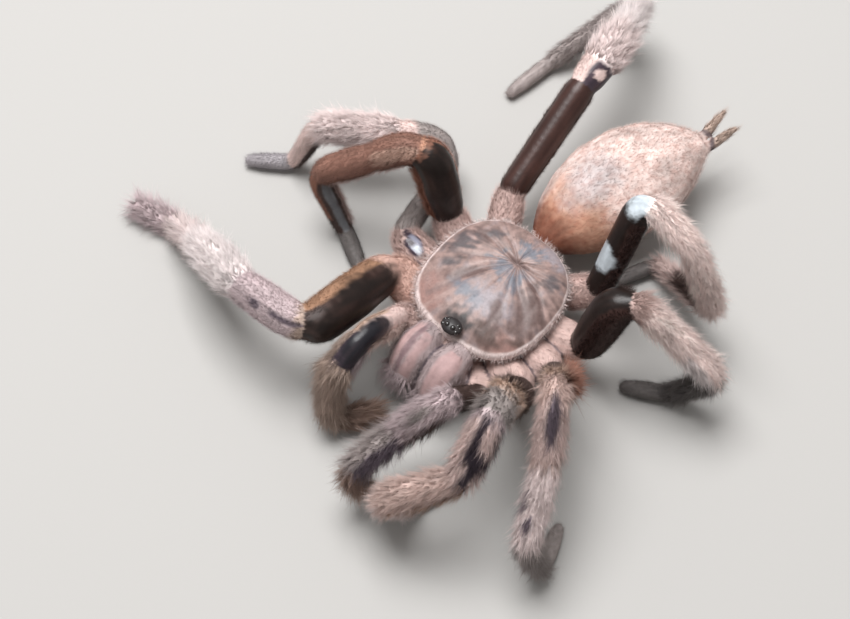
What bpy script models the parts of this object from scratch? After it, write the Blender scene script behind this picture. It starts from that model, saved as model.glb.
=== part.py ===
"""Tarantula at life size, a still model on its feet with its legs drawn in.

The head faces -Y, the animal's right side is -X and the floor is Z = 0. Every limb is one swept
body parted at its joints, and its radii reach to the tips of the coat.
"""
from math import acos, asin, cos, degrees, pi, radians, sin, sqrt, tan

import bmesh
import bpy
from mathutils import Matrix, Quaternion, Vector

MM = 0.001
GAP = 0.3 * MM                    # clearance between neighbouring pieces
UP = Vector((0, 0, 1))

# Driving size: the length of the carapace. Limb lengths are shares of it, by leg number.
CARAPACE_LENGTH = 20.5 * MM
HEAD_TURN = radians(5)            # the front body points a little to its left of -Y
LEG_SHARES = {                    # femur, patella, tibia, metatarsus, tarsus
    1: (0.88, 0.55, 0.60, 0.52, 0.36),
    2: (0.80, 0.48, 0.54, 0.50, 0.35),
    3: (0.70, 0.42, 0.47, 0.54, 0.34),
    4: (0.88, 0.46, 0.66, 0.80, 0.42),
}
PALP_SHARES = (0.58, 0.36, 0.42, 0.36)    # femur, patella, tibia, tarsus
LEG_GIRTH = {1: 3.3 * MM, 2: 2.75 * MM, 3: 2.9 * MM, 4: 2.6 * MM}    # thickest radius, coat included
PALP_GIRTH = 2.4 * MM

# Radius at the start, middle and end of each segment, as a share of the limb's girth.
LEG_PROFILE = {
    "patella": (0.88, 0.97, 0.86),
    "tibia": (0.86, 0.92, 0.74),
    "metatarsus": (0.74, 0.68, 0.56),
    "tarsus": (0.56, 0.58, 0.44),
}
FEMUR_PROFILE = {1: (0.80, 1.0, 0.90), 2: (0.80, 0.71, 0.80), 3: (0.80, 1.0, 0.88), 4: (0.80, 0.84, 0.86)}
PALP_PROFILE = {
    "femur": (0.80, 0.86, 0.88),
    "patella": (0.88, 0.97, 0.92),
    "tibia": (0.92, 1.0, 0.86),
    "tarsus": (0.86, 0.84, 0.62),
}
BEND_LOOSENESS = 1.3              # centreline bend radius over the limb's radius there
FLOOR_PRESS = 0.86                # height of a tarsus' centreline over its radius
TOE_ROUND = 0.9 * MM              # length of the rounded end of a tarsus
SIDES = 10
SHARP_BEND = radians(50)          # a bend over this angle gets twice the rings
RING_SPACING = 0.6 * MM           # least distance between two rings

# Pose: hip in mm, then each segment's bearing from +X and its rise, in degrees. A leg's
# metatarsus and tarsus have no rise here: they come down to the floor and lie on it.
LEG_POSE = {
    "R1": ((-12.5, -6.35, 7.8), (-85, -173, 171, 168, -165), (22, -3, -25)),
    "R2": ((-15.7, -1.35, 6.1), (103, -136, -139, -130, -140), (2, 22, 2)),
    "R3": ((-12.95, 5.15, 7.8), (176, -137, -140, 0, -25), (71, -34, -34)),
    "R4": ((-8.9, 13.2, 8.4), (98, 96, 116, -113, -94), (21, 14, -32)),
    "L1": ((12.6, -7.4, 7.4), (-68, -77, -129, 77, 77), (60, -42, -23)),
    "L2": ((14.0, -2.0, 7.2), (-52, -52, -61, 48, 113), (61, -30, -29)),
    "L3": ((14.2, 3.6, 7.2), (68, 15, 12, -154, -147), (71, -35, -31)),
    "L4": ((9.8, 11.0, 7.8), (91, -7, 14, 160, -112), (66, -5, -69)),
}
PALP_POSE = {
    "R": ((-6.8, -10.4, 6.8), (-79, -97, -60, 60), (46, -45, -65, -5)),
    "L": ((9.1, -11.1, 6.8), (-90, -112, -99, 48), (54, -37, -5, -76)),
}

# Where the coxae leave the underside of the body, on the left side, in mm; the right mirrors it.
COXA_ROOTS = {0: (3.3, -7.5), 1: (4.9, -4.6), 2: (5.7, -1.0), 3: (5.4, 2.7), 4: (3.9, 6.4)}
COXA_ROOT_HEIGHT = 5.4 * MM
PALP_ROOT_HEIGHT = 4.6 * MM
COXA_HALF_WIDTH = {0: 1.1 * MM, 1: 1.45 * MM, 2: 1.6 * MM, 3: 1.6 * MM, 4: 1.7 * MM}
COXA_HALF_HEIGHT = 2.2 * MM
PALP_COXA_HALF_HEIGHT = 1.4 * MM
COXA_LEVEL_SHARE = 0.5            # share of the way to the hip that runs level

CARAPACE_HALF_WIDTH = 9.5 * MM
CARAPACE_MIDDLE = 0.7 * MM        # Y of the widest place
CARAPACE_FRONT = -10.1 * MM       # Y of the straight front edge over the jaws' bases
CARAPACE_SQUARENESS = {"front": 2.9, "rear": 2.45}
CARAPACE_UNDERSIDE = 8.5 * MM
CARAPACE_RIM = 0.5 * MM
CARAPACE_DOME = 2.5 * MM
HEAD_RISE = 0.9 * MM
FOVEA_Y = 3.6 * MM
FOVEA_DEPTH = 0.5 * MM
CORE_BOTTOM = 3.3 * MM
CORE_REAR = 9.0 * MM

EYE_MOUND_Y = -8.15 * MM
EYE_MOUND_SIZE = (1.5 * MM, 1.0 * MM, 0.9 * MM)
EYE_SOCKET_DEPTH = 0.6 * MM
EYE_MOUND_SIDES = 16
EYES = {                          # half-width position, Y position, radius, in mm
    "front_middle": (0.52, -0.42, 0.36),
    "front_side": (1.12, -0.36, 0.30),
    "rear_middle": (0.72, 0.36, 0.22),
    "rear_side": (1.16, 0.30, 0.26),
}

ABDOMEN_START = Vector((-1.1, 9.5, 6.0)) * MM
ABDOMEN_END = Vector((4.9, 37.4, 9.4)) * MM
ABDOMEN_BOW = Vector((-1.2, 0, 0.2)) * MM
ABDOMEN_HALF_WIDTH = 8.4 * MM
ABDOMEN_HALF_HEIGHT = 7.3 * MM
ABDOMEN_PROFILE = (               # place along the axis, share of the full girth
    (0.0, 0.17), (0.06, 0.23), (0.12, 0.42), (0.20, 0.64), (0.33, 0.86), (0.48, 0.99),
    (0.63, 0.98), (0.77, 0.84), (0.88, 0.62), (0.95, 0.40), (1.0, 0.23),
)

CHELICERA_SPREAD = 2.78 * MM      # from the middle plane to a chelicera's own axis
CHELICERA_STATIONS = (            # y, z, half width, half height, in mm
    (-10.4, 7.9, 2.1, 2.2), (-11.3, 8.0, 2.4, 2.8), (-12.5, 7.5, 2.6, 3.1), (-13.6, 6.4, 2.6, 3.0),
    (-14.5, 5.0, 2.45, 2.7), (-15.0, 3.9, 1.9, 2.1), (-15.2, 3.2, 1.1, 1.1),
)
FANG_ROOT = Vector((2.78, -15.3, 2.55)) * MM
FANG_REACH = 1.85 * MM            # radius of the arc that the fang follows
FANG_SWEEP = 95                   # degrees of that arc
FANG_ROOT_RADIUS = 0.6 * MM
FANG_TIP_RADIUS = 0.27 * MM

SPINNERET_LENGTH = 4.8 * MM
SPINNERET_RADII = ((0.0, 0.75), (0.3, 0.8), (0.36, 0.66), (0.64, 0.66), (0.7, 0.54), (1.0, 0.3))
SPINNERET_SPREAD = 0.95 * MM
SPINNERET_RISE = 22
SPINNERET_BEARING = {"R": 90, "L": 74}

COLOURS = {                       # colour, roughness, metallic
    "legs": ((0.46, 0.33, 0.29), 0.8, 0.0),
    "femora": ((0.05, 0.022, 0.015), 0.45, 0.0),
    "feet": ((0.24, 0.19, 0.16), 0.85, 0.0),
    "carapace": ((0.42, 0.27, 0.22), 0.5, 0.0),
    "body": ((0.48, 0.31, 0.24), 0.8, 0.0),
    "spinnerets": ((0.16, 0.09, 0.06), 0.8, 0.0),
    "eyes": ((0.008, 0.007, 0.007), 0.12, 0.0),
    "fangs": ((0.015, 0.009, 0.008), 0.2, 0.0),
}


def material(name):
    """One Principled material for each finish, made once."""
    found = bpy.data.materials.get(name)
    if found:
        return found
    colour, roughness, metallic = COLOURS[name]
    made = bpy.data.materials.new(name)
    made.use_nodes = True
    shader = made.node_tree.nodes["Principled BSDF"]
    shader.inputs["Base Color"].default_value = (*colour, 1)
    shader.inputs["Roughness"].default_value = roughness
    shader.inputs["Metallic"].default_value = metallic
    return made


def add_object(name, shape, finish):
    """Turn a bmesh into a named object with outward faces and smooth shading."""
    bmesh.ops.recalc_face_normals(shape, faces=shape.faces)
    mesh = bpy.data.meshes.new(name)
    shape.to_mesh(mesh)
    shape.free()
    mesh.materials.append(material(finish))
    mesh.shade_smooth()
    mesh.set_sharp_from_angle(angle=radians(50))
    added = bpy.data.objects.new(name, mesh)
    bpy.context.scene.collection.objects.link(added)
    return added


def direction(bearing, rise):
    """Unit vector at a bearing from +X and a rise above the level, both in degrees."""
    level = cos(radians(rise))
    return Vector((level * cos(radians(bearing)), level * sin(radians(bearing)), sin(radians(rise))))


def turned(place):
    """A place of the straight front body, moved to where the turned front body has it."""
    return Matrix.Rotation(HEAD_TURN, 3, "Z") @ place


def turn_shape(shape):
    """Turn a whole shape of the straight front body."""
    bmesh.ops.rotate(shape, verts=shape.verts, matrix=Matrix.Rotation(HEAD_TURN, 3, "Z"))


def three_way(values, share):
    """A smooth curve through a value at the start, the middle and the end."""
    start, middle, end = values
    return (start * (1 - share) * (1 - 2 * share) + middle * 4 * share * (1 - share)
            + end * share * (2 * share - 1))


def loft(stations, sides, floor=False):
    """Skin rings of (centre, direction, half width, half height) into one closed body.

    The first ring stands upright and the others follow it round the bends without twisting.
    With floor set, what would sink below Z = 0 is pressed flat onto it.
    """
    shape = bmesh.new()
    facing = stations[0][1].normalized()
    side = facing.cross(UP).normalized()
    top = side.cross(facing)
    rings = []
    for centre, heading, half_width, half_height in stations:
        turn = facing.rotation_difference(heading)
        side = (turn @ side).normalized()
        top = (turn @ top).normalized()
        facing = heading.normalized()
        ring = []
        for step in range(sides):
            angle = 2 * pi * (step + 0.5) / sides
            place = centre + side * cos(angle) * half_width + top * sin(angle) * half_height
            if floor:
                place.z = max(place.z, 0.0)
            ring.append(shape.verts.new(place))
        rings.append(ring)
    bmesh.ops.bridge_loops(shape, edges=loop_edges(shape, rings))
    shape.faces.new(rings[0])
    shape.faces.new(rings[-1])
    return shape


def loop_edges(shape, rings):
    """Close each ring of vertices into a loop of edges."""
    edges = []
    for ring in rings:
        for here, after in zip(ring, ring[1:] + ring[:1]):
            edges.append(shape.edges.new((here, after)))
    return edges


class Path:
    """A centreline of straight runs and round bends, read by the distance along it."""

    def __init__(self, joints, bend_radii):
        self.runs = []            # start distance, length, start point, direction, bend axis, radius
        self.cuts = []            # distance of the middle of each bend
        self.length = 0.0
        here = joints[0]
        for before, corner, after, radius in zip(joints, joints[1:], joints[2:], bend_radii):
            inward = (corner - before).normalized()
            outward = (after - corner).normalized()
            angle = acos(max(-1.0, min(1.0, inward.dot(outward))))
            setback = radius * tan(angle / 2)
            self.add_run((corner - inward * setback - here).length, here, inward)
            here = corner + outward * setback
            self.cuts.append(self.length + radius * angle / 2)
            axis = inward.cross(outward).normalized()
            self.add_run(radius * angle, corner - inward * setback, inward, axis, radius)
        last = joints[-1] - joints[-2]
        self.add_run((joints[-1] - here).length, here, last.normalized())

    def add_run(self, length, start, heading, axis=None, radius=None):
        self.runs.append((self.length, length, start, heading, axis, radius))
        self.length += length

    def at(self, distance):
        """The point and the heading at a distance from the start."""
        for begins, length, start, heading, axis, radius in reversed(self.runs):
            if distance >= begins:
                break
        along = distance - begins
        if axis is None:
            return start + heading * along, heading
        turned = Quaternion(axis, along / radius) @ heading
        centre = start + axis.cross(heading) * radius
        return centre - axis.cross(turned) * radius, turned

    def stops(self, first, last):
        """Distances for rings between two cuts: closer round a sharp bend than along a run."""
        marks = {first, last}
        for begins, length, _, _, axis, radius in self.runs:
            steps = 2
            if axis is not None and length / radius > SHARP_BEND:
                steps = 4
            for step in range(steps + 1):
                mark = begins + length * step / steps
                if first + RING_SPACING < mark < last - RING_SPACING:
                    marks.add(mark)
        kept = []
        for mark in sorted(marks):
            if not kept or mark - kept[-1] > RING_SPACING:
                kept.append(mark)
        return kept


def segment(name, path, bounds, size_at, finish, floor=False):
    """The stretch of a limb between two distances, as one object.

    Where it meets a neighbour, the end lies half the clearance off the plane that parts them.
    """
    first, last = bounds
    stations = []
    for mark in path.stops(first, last):
        centre, heading = path.at(mark)
        if mark == first and first > 0:
            centre = centre + heading * GAP / 2
        if mark == last and last < path.length:
            centre = centre - heading * GAP / 2
        stations.append((centre, heading, *size_at((mark - first) / (last - first))))
    if floor:
        centre, heading, half_width, _ = stations.pop()
        for along, share in ((-1.0, 1.0), (-0.35, 0.8), (0.0, 0.42)):
            place = centre + heading * along * TOE_ROUND
            stations.append((place, heading, half_width * share, half_width * share))
    return add_object(name, loft(stations, SIDES, floor), finish)


def coxa_joints(number, side_sign, hip):
    """The root of a coxa on the body and the place where it starts to rise to the hip."""
    root_x, root_y = COXA_ROOTS[number]
    height = COXA_ROOT_HEIGHT if number else PALP_ROOT_HEIGHT
    root = turned(Vector((side_sign * root_x * MM, root_y * MM, height)))
    level_end = root.lerp(Vector((hip.x, hip.y, height)), COXA_LEVEL_SHARE)
    return root, level_end


def leg_joints(name):
    """Every joint of a leg, from the coxa's root to the toe lying on the floor."""
    number = int(name[1])
    hip, bearings, rises = LEG_POSE[name]
    hip = Vector(hip) * MM
    lengths = [share * CARAPACE_LENGTH for share in LEG_SHARES[number]]
    joints = [*coxa_joints(number, 1 if name[0] == "L" else -1, hip), hip]
    for length, bearing, rise in zip(lengths, bearings, rises):
        joints.append(joints[-1] + direction(bearing, rise) * length)
    ankle_height = LEG_PROFILE["tarsus"][0] * LEG_GIRTH[number] * FLOOR_PRESS
    toe_height = LEG_PROFILE["tarsus"][2] * LEG_GIRTH[number] * FLOOR_PRESS
    for height, length, bearing in zip((ankle_height, toe_height), lengths[3:], bearings[3:]):
        drop = degrees(asin((joints[-1].z - height) / length))
        joints.append(joints[-1] + direction(bearing, -drop) * length)
    return joints


def palp_joints(name):
    """Every joint of a palp, from the coxa's root to its tip."""
    hip, bearings, rises = PALP_POSE[name]
    hip = Vector(hip) * MM
    joints = [*coxa_joints(0, 1 if name == "L" else -1, hip), hip]
    for share, bearing, rise in zip(PALP_SHARES, bearings, rises):
        joints.append(joints[-1] + direction(bearing, rise) * share * CARAPACE_LENGTH)
    return joints


def coxa_size(number, hip_radius):
    """Half width and half height along a coxa: narrow at the body, round at the hip."""
    tall = COXA_HALF_HEIGHT if number else PALP_COXA_HALF_HEIGHT
    widths = (COXA_HALF_WIDTH[number], hip_radius * 0.88, hip_radius)
    heights = (tall, (tall + hip_radius) / 2, hip_radius)

    def size_at(share):
        return three_way(widths, share), three_way(heights, share)

    return size_at


def limb(label, number, joints, profile, girth, finishes):
    """A coxa and the segments after it, parted in the middle of each bend."""
    names = list(profile)
    ends = [profile[part][0] * girth for part in names]
    radii = [COXA_HALF_HEIGHT * BEND_LOOSENESS]
    radii += [end * BEND_LOOSENESS for end in ends]
    path = Path(joints, radii)
    hip_cut = path.cuts[1]
    segment(f"{label}_coxa", path, (0.0, hip_cut), coxa_size(number, ends[0]), "body")
    marks = path.cuts[1:] + [path.length]
    if number:
        names = names[:3]
    for part, begins, stops in zip(names, marks, marks[1:]):

        def size_at(share, part=part):
            radius = three_way(profile[part], share) * girth
            return radius, radius

        at_tip = stops == path.length
        segment(f"{label}_{part}", path, (begins, stops), size_at, finishes[part], at_tip)
    if number:
        foot(label, path, marks[3], marks[4], profile, girth)


def foot(label, path, begins, ankle, profile, girth):
    """A leg's metatarsus and tarsus as one piece, which stands on the floor."""
    bend = (ankle - begins) / (path.length - begins)

    def size_at(share):
        if share < bend:
            radius = three_way(profile["metatarsus"], share / bend) * girth
        else:
            radius = three_way(profile["tarsus"], (share - bend) / (1 - bend)) * girth
        return radius, radius

    segment(f"{label}_foot", path, (begins, path.length), size_at, "feet", True)


def make_limbs():
    """Eight legs and two palps."""
    leg_finishes = {"femur": "femora", "patella": "legs", "tibia": "legs"}
    for name in LEG_POSE:
        number = int(name[1])
        profile = {"femur": FEMUR_PROFILE[number], **LEG_PROFILE}
        limb(f"leg_{name}", number, leg_joints(name), profile, LEG_GIRTH[number], leg_finishes)
    palp_finishes = {"femur": "legs", "patella": "femora", "tibia": "legs", "tarsus": "feet"}
    for name in PALP_POSE:
        limb(f"palp_{name}", 0, palp_joints(name), PALP_PROFILE, PALP_GIRTH, palp_finishes)


def core_side(side, sign):
    """Corners along one side of the body core, which turns one flat to each coxa's root."""
    front = turned(Vector((0, -1, 0)))
    lines = [(front, front.dot(turned(Vector((0, CARAPACE_FRONT, 0)))))]
    for number in COXA_ROOTS:
        hip = LEG_POSE[f"{side}{number}"][0] if number else PALP_POSE[side][0]
        root = coxa_joints(number, sign, Vector(hip) * MM)[0]
        outward = Vector((hip[0] * MM - root.x, hip[1] * MM - root.y, 0)).normalized()
        lines.append((outward, outward.dot(root) - GAP))
    lines.append((-front, CORE_REAR))
    corners = []
    for (normal, reach), (after, after_reach) in zip(lines, lines[1:]):
        spread = normal.x * after.y - normal.y * after.x
        corner_x = (reach * after.y - after_reach * normal.y) / spread
        corner_y = (normal.x * after_reach - after.x * reach) / spread
        corners.append(Vector((corner_x, corner_y)))
    return corners


def make_core():
    """The underside of the front body: sternum and the sides that the coxae grow from."""
    outline = core_side("L", 1) + core_side("R", -1)[::-1]
    shape = bmesh.new()
    top = CARAPACE_UNDERSIDE - GAP
    levels = ((top, 1.0), (CORE_BOTTOM + 1.0 * MM, 1.0), (CORE_BOTTOM, 0.82))
    rings = []
    for height, share in levels:
        rings.append([shape.verts.new((p.x * share, p.y * share, height)) for p in outline])
    bmesh.ops.bridge_loops(shape, edges=loop_edges(shape, rings))
    shape.faces.new(rings[0])
    shape.faces.new(rings[-1])
    return add_object("sternum", shape, "body")


def carapace_half_length():
    return CARAPACE_LENGTH + CARAPACE_FRONT - CARAPACE_MIDDLE


def carapace_edge(angle):
    """A point of the rounded, square-fronted outline, at an angle from +X."""
    power = 2 / CARAPACE_SQUARENESS["rear" if sin(angle) > 0 else "front"]
    reach_x = abs(cos(angle)) ** power * CARAPACE_HALF_WIDTH
    reach_y = abs(sin(angle)) ** power * carapace_half_length()
    edge_x = reach_x if cos(angle) > 0 else -reach_x
    edge_y = CARAPACE_MIDDLE + (reach_y if sin(angle) > 0 else -reach_y)
    return Vector((edge_x, max(edge_y, CARAPACE_FRONT)))


def carapace_height(place, share):
    """Dome, raised head part and the pit of the fovea, above the rim."""
    dome = CARAPACE_DOME * sqrt(max(0.0, 1 - share ** 2.6))
    forward = max(0.0, min(1.0, (FOVEA_Y - place.y) / (8 * MM)))
    across = max(0.0, 1 - (place.x / (6.5 * MM)) ** 2)
    head = HEAD_RISE * forward * across * (1 - share ** 4)
    off_pit = Vector((place.x / (1.6 * MM), (place.y - FOVEA_Y) / (1.1 * MM))).length
    pit = FOVEA_DEPTH * max(0.0, 1 - off_pit)
    return CARAPACE_UNDERSIDE + CARAPACE_RIM + dome + head - pit


def make_carapace():
    """The shield over the front body, with a shallow socket for the eye mound."""
    shape = bmesh.new()
    steps = 32
    centre = Vector((0, FOVEA_Y))
    edge = [carapace_edge(2 * pi * (step + 0.5) / steps) for step in range(steps)]
    rings = [[shape.verts.new((p.x, p.y, CARAPACE_UNDERSIDE)) for p in edge]]
    for share in (1.0, 0.93, 0.8, 0.6, 0.38, 0.18):
        ring = []
        for p in edge:
            place = centre.lerp(p, share)
            ring.append(shape.verts.new((place.x, place.y, carapace_height(place, share))))
        rings.append(ring)
    bmesh.ops.bridge_loops(shape, edges=loop_edges(shape, rings))
    shape.faces.new(rings[0])
    peak = shape.verts.new((0, FOVEA_Y, carapace_height(centre, 0.0)))
    for here, after in zip(rings[-1], rings[-1][1:] + rings[-1][:1]):
        shape.faces.new((here, after, peak))
    turn_shape(shape)
    carapace = add_object("carapace", shape, "carapace")
    socket = make_socket()
    cut = carapace.modifiers.new("eye socket", "BOOLEAN")
    cut.operation = "DIFFERENCE"
    cut.solver = "EXACT"
    cut.object = socket
    return carapace


def eye_floor():
    """Height of the flat seat under the eye mound."""
    seat = Vector((0, EYE_MOUND_Y))
    share = (FOVEA_Y - EYE_MOUND_Y) / (FOVEA_Y - CARAPACE_FRONT)
    return carapace_height(seat, share) - EYE_SOCKET_DEPTH


def make_socket():
    """Cutter for the eye mound's seat: an upright oval, left out of the build."""
    shape = bmesh.new()
    bmesh.ops.create_cone(shape, cap_ends=True, segments=EYE_MOUND_SIDES, radius1=1, radius2=1, depth=1)
    half_width, half_length, _ = EYE_MOUND_SIZE
    depth = 4 * MM
    bmesh.ops.scale(shape, vec=(half_width + GAP, half_length + GAP, depth), verts=shape.verts)
    place = Vector((0, EYE_MOUND_Y, eye_floor() + depth / 2))
    bmesh.ops.translate(shape, vec=place, verts=shape.verts)
    turn_shape(shape)
    socket = add_object("eye_socket_cutter", shape, "eyes")
    socket.hide_render = True
    socket.display_type = "WIRE"
    return socket


def ball(name, place, size, segments, rings):
    """An oval ball as a helper object."""
    shape = bmesh.new()
    bmesh.ops.create_uvsphere(shape, u_segments=segments, v_segments=rings, radius=1)
    bmesh.ops.scale(shape, vec=size, verts=shape.verts)
    bmesh.ops.translate(shape, vec=place, verts=shape.verts)
    turn_shape(shape)
    helper = add_object(name, shape, "eyes")
    helper.hide_render = True
    helper.display_type = "WIRE"
    return helper


def make_eye_mound():
    """The low mound near the front edge, with its eight eyes grown together with it."""
    half_width, half_length, rise = EYE_MOUND_SIZE
    seat = eye_floor() + GAP
    stations = []
    base = Vector((0, EYE_MOUND_Y, seat))
    for up_share, girth in ((0.0, 1.0), (0.45, 1.0), (0.8, 0.8), (1.0, 0.4)):
        height = (EYE_SOCKET_DEPTH + rise) * up_share
        stations.append((base + UP * height, half_width * girth, half_length * girth))
    shape = bmesh.new()
    rings = []
    for centre, reach_x, reach_y in stations:
        ring = []
        for step in range(EYE_MOUND_SIDES):
            angle = 2 * pi * (step + 0.5) / EYE_MOUND_SIDES
            ring.append(shape.verts.new(centre + Vector((reach_x * cos(angle), reach_y * sin(angle), 0))))
        rings.append(ring)
    bmesh.ops.bridge_loops(shape, edges=loop_edges(shape, rings))
    shape.faces.new(rings[0])
    shape.faces.new(rings[-1])
    turn_shape(shape)
    mound = add_object("eye_mound", shape, "eyes")
    for label, (across, along, radius) in EYES.items():
        for side in (-1, 1):
            low = 1 - 0.5 * (across / (half_width / MM)) ** 2 - 0.35 * (along / (half_length / MM)) ** 2
            height = (EYE_SOCKET_DEPTH + rise) * low
            place = base + Vector((side * across * MM, along * MM, height))
            size = Vector((1, 1, 1)) * radius * MM
            eye = ball(f"{label}_{side}", place, size, 8, 5)
            join = mound.modifiers.new(f"{label} {side}", "BOOLEAN")
            join.operation = "UNION"
            join.solver = "EXACT"
            join.object = eye


def make_abdomen():
    """The abdomen on its narrow waist, bent a little to the left."""
    stations = []
    middle = (ABDOMEN_START + ABDOMEN_END) / 2 + ABDOMEN_BOW
    for share, girth in ABDOMEN_PROFILE:
        place = three_way((ABDOMEN_START, middle, ABDOMEN_END), share)
        ahead = three_way((ABDOMEN_START, middle, ABDOMEN_END), share + 0.01)
        heading = (ahead - place).normalized()
        size = (ABDOMEN_HALF_WIDTH * girth, ABDOMEN_HALF_HEIGHT * girth)
        stations.append((place, heading, *size))
    add_object("abdomen", loft(stations, 20), "body")
    return stations[-1][0], stations[-1][1]


def make_spinnerets(tail, heading):
    """Two long jointed spinnerets behind the abdomen."""
    across = heading.cross(UP).normalized()
    for side, sign in (("R", -1), ("L", 1)):
        aim = direction(SPINNERET_BEARING[side], SPINNERET_RISE)
        start = tail + heading * 0.75 * MM + across * sign * SPINNERET_SPREAD
        stations = []
        for share, radius in SPINNERET_RADII:
            place = start + aim * share * SPINNERET_LENGTH
            stations.append((place, aim, radius * MM, radius * MM))
        add_object(f"spinneret_{side}", loft(stations, 8), "spinnerets")


def make_jaws():
    """The two chelicerae and the fang folded under each."""
    for side, sign in (("R", -1), ("L", 1)):
        places = [Vector((0, y, z)) * MM for y, z, _, _ in CHELICERA_STATIONS]
        headings = [Vector((0, -1, 0))]
        headings += [(after - before).normalized() for before, after in zip(places, places[2:])]
        headings.append((places[-1] - places[-2]).normalized())
        stations = []
        for place, heading, station in zip(places, headings, CHELICERA_STATIONS):
            centre = place + Vector((sign * CHELICERA_SPREAD, 0, 0))
            stations.append((centre, heading, station[2] * MM, station[3] * MM))
        shape = loft(stations, 14)
        turn_shape(shape)
        add_object(f"chelicera_{side}", shape, "body")
        make_fang(f"fang_{side}", sign)


def make_fang(name, sign):
    """A curved fang that hangs from the chelicera's end and sweeps back under it."""
    root = Vector((sign * FANG_ROOT.x, FANG_ROOT.y, FANG_ROOT.z))
    centre = root + Vector((0, FANG_REACH, 0))
    stations = []
    steps = 7
    for step in range(steps + 1):
        share = step / steps
        angle = radians(FANG_SWEEP) * share
        out = Vector((0, -cos(angle), -sin(angle)))
        heading = Vector((0, sin(angle), -cos(angle)))
        radius = FANG_ROOT_RADIUS + (FANG_TIP_RADIUS - FANG_ROOT_RADIUS) * share
        stations.append((centre + out * FANG_REACH, heading, radius, radius))
    stations[0] = (stations[0][0], Vector((0, 0.02, -1)), *stations[0][2:])
    shape = loft(stations, 8)
    turn_shape(shape)
    add_object(name, shape, "fangs")


def centre_on_floor():
    """Move everything so that the middle of the model's base is the origin."""
    meshes = [piece.data for piece in bpy.data.objects]
    places = [corner.co for mesh in meshes for corner in mesh.vertices]
    low = Vector([min(place[axis] for place in places) for axis in range(3)])
    high = Vector([max(place[axis] for place in places) for axis in range(3)])
    shift = Matrix.Translation((-(low.x + high.x) / 2, -(low.y + high.y) / 2, -low.z))
    for mesh in meshes:
        mesh.transform(shift)


def main():
    for old in list(bpy.data.objects):
        bpy.data.objects.remove(old)
    make_core()
    make_carapace()
    make_eye_mound()
    make_jaws()
    make_spinnerets(*make_abdomen())
    make_limbs()
    centre_on_floor()


main()
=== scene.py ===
"""Tarantula, a life-size still model: its skin, coat, shell and eyes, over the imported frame.

Lengths are in metres. The head faces -Y, the animal's right side is -X and the floor is Z = 0.
The solids of the frame reach to the tips of the coat, so the skin lies inside them.
"""

from math import cos, pi, radians, sin, tau

import bmesh
import bpy
import numpy as np
from mathutils import Euler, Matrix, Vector, noise
from mathutils.bvhtree import BVHTree


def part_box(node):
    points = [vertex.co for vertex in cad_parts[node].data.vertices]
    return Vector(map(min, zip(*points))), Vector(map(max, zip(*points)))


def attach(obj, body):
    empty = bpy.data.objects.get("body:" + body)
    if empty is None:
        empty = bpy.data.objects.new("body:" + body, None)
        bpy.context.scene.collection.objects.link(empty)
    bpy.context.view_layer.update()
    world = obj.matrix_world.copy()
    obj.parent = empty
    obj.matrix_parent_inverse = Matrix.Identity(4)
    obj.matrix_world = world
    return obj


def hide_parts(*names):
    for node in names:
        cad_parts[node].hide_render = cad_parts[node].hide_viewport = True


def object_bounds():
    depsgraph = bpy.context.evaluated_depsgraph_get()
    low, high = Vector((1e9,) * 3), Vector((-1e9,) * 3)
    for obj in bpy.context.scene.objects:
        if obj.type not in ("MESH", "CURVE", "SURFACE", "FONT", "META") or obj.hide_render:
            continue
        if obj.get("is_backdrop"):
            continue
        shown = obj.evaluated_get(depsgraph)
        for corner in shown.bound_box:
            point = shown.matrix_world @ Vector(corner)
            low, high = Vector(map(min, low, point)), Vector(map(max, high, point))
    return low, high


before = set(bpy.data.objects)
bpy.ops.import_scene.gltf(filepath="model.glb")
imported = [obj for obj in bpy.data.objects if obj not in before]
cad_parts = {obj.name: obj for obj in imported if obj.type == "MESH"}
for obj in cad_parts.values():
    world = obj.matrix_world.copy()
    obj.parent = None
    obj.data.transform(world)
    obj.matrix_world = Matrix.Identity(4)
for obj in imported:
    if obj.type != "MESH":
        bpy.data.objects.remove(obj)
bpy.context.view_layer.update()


# ---------------------------------------------------------------- the room
# A pale matt floor under a broad soft lamp and an even pale sky. The camera looks down on the
# animal from its left front, high up.
MM = 0.001
FLOOR_COLOUR = (0.40, 0.39, 0.378)
FLOOR_HALF_WIDTH = 600 * MM
SKY_COLOUR = (1.0, 0.985, 0.97)
SKY_STRENGTH = 0.45
LAMP_POWER = 5.6
LAMP_WIDTH = 340 * MM
LAMP_PLACE = Vector((-150, 40, 560)) * MM
CAMERA_AZIMUTH = radians(45)
CAMERA_ELEVATION = radians(64)
CAMERA_FROM_CARAPACE = Vector((75.3, -88.3, 229.5)) * MM
CAMERA_LENS = 81


def plug(node, inputs):
    """Link or set a node's inputs, by name or number."""
    for socket, value in inputs.items():
        if isinstance(value, bpy.types.NodeSocket):
            node.id_data.links.new(value, node.inputs[socket])
        else:
            node.inputs[socket].default_value = value
    return node


def new_material(name, inputs):
    """A Principled material, returned with its tree and its shader."""
    made = bpy.data.materials.new(name)
    made.use_nodes = True
    shader = plug(made.node_tree.nodes["Principled BSDF"], inputs)
    return made, made.node_tree, shader


def new_mesh(name, shape):
    """A shape as a smooth mesh. The shape is used up."""
    mesh = bpy.data.meshes.new(name)
    shape.to_mesh(mesh)
    shape.free()
    mesh.shade_smooth()
    return mesh


def linked(name, data):
    """A new object of the scene."""
    made = bpy.data.objects.new(name, data)
    bpy.context.scene.collection.objects.link(made)
    return made


def new_piece(name, mesh, finish):
    """A mesh as an object of the scene with one material."""
    mesh.materials.clear()
    mesh.materials.append(finish)
    return linked(name, mesh)


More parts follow.
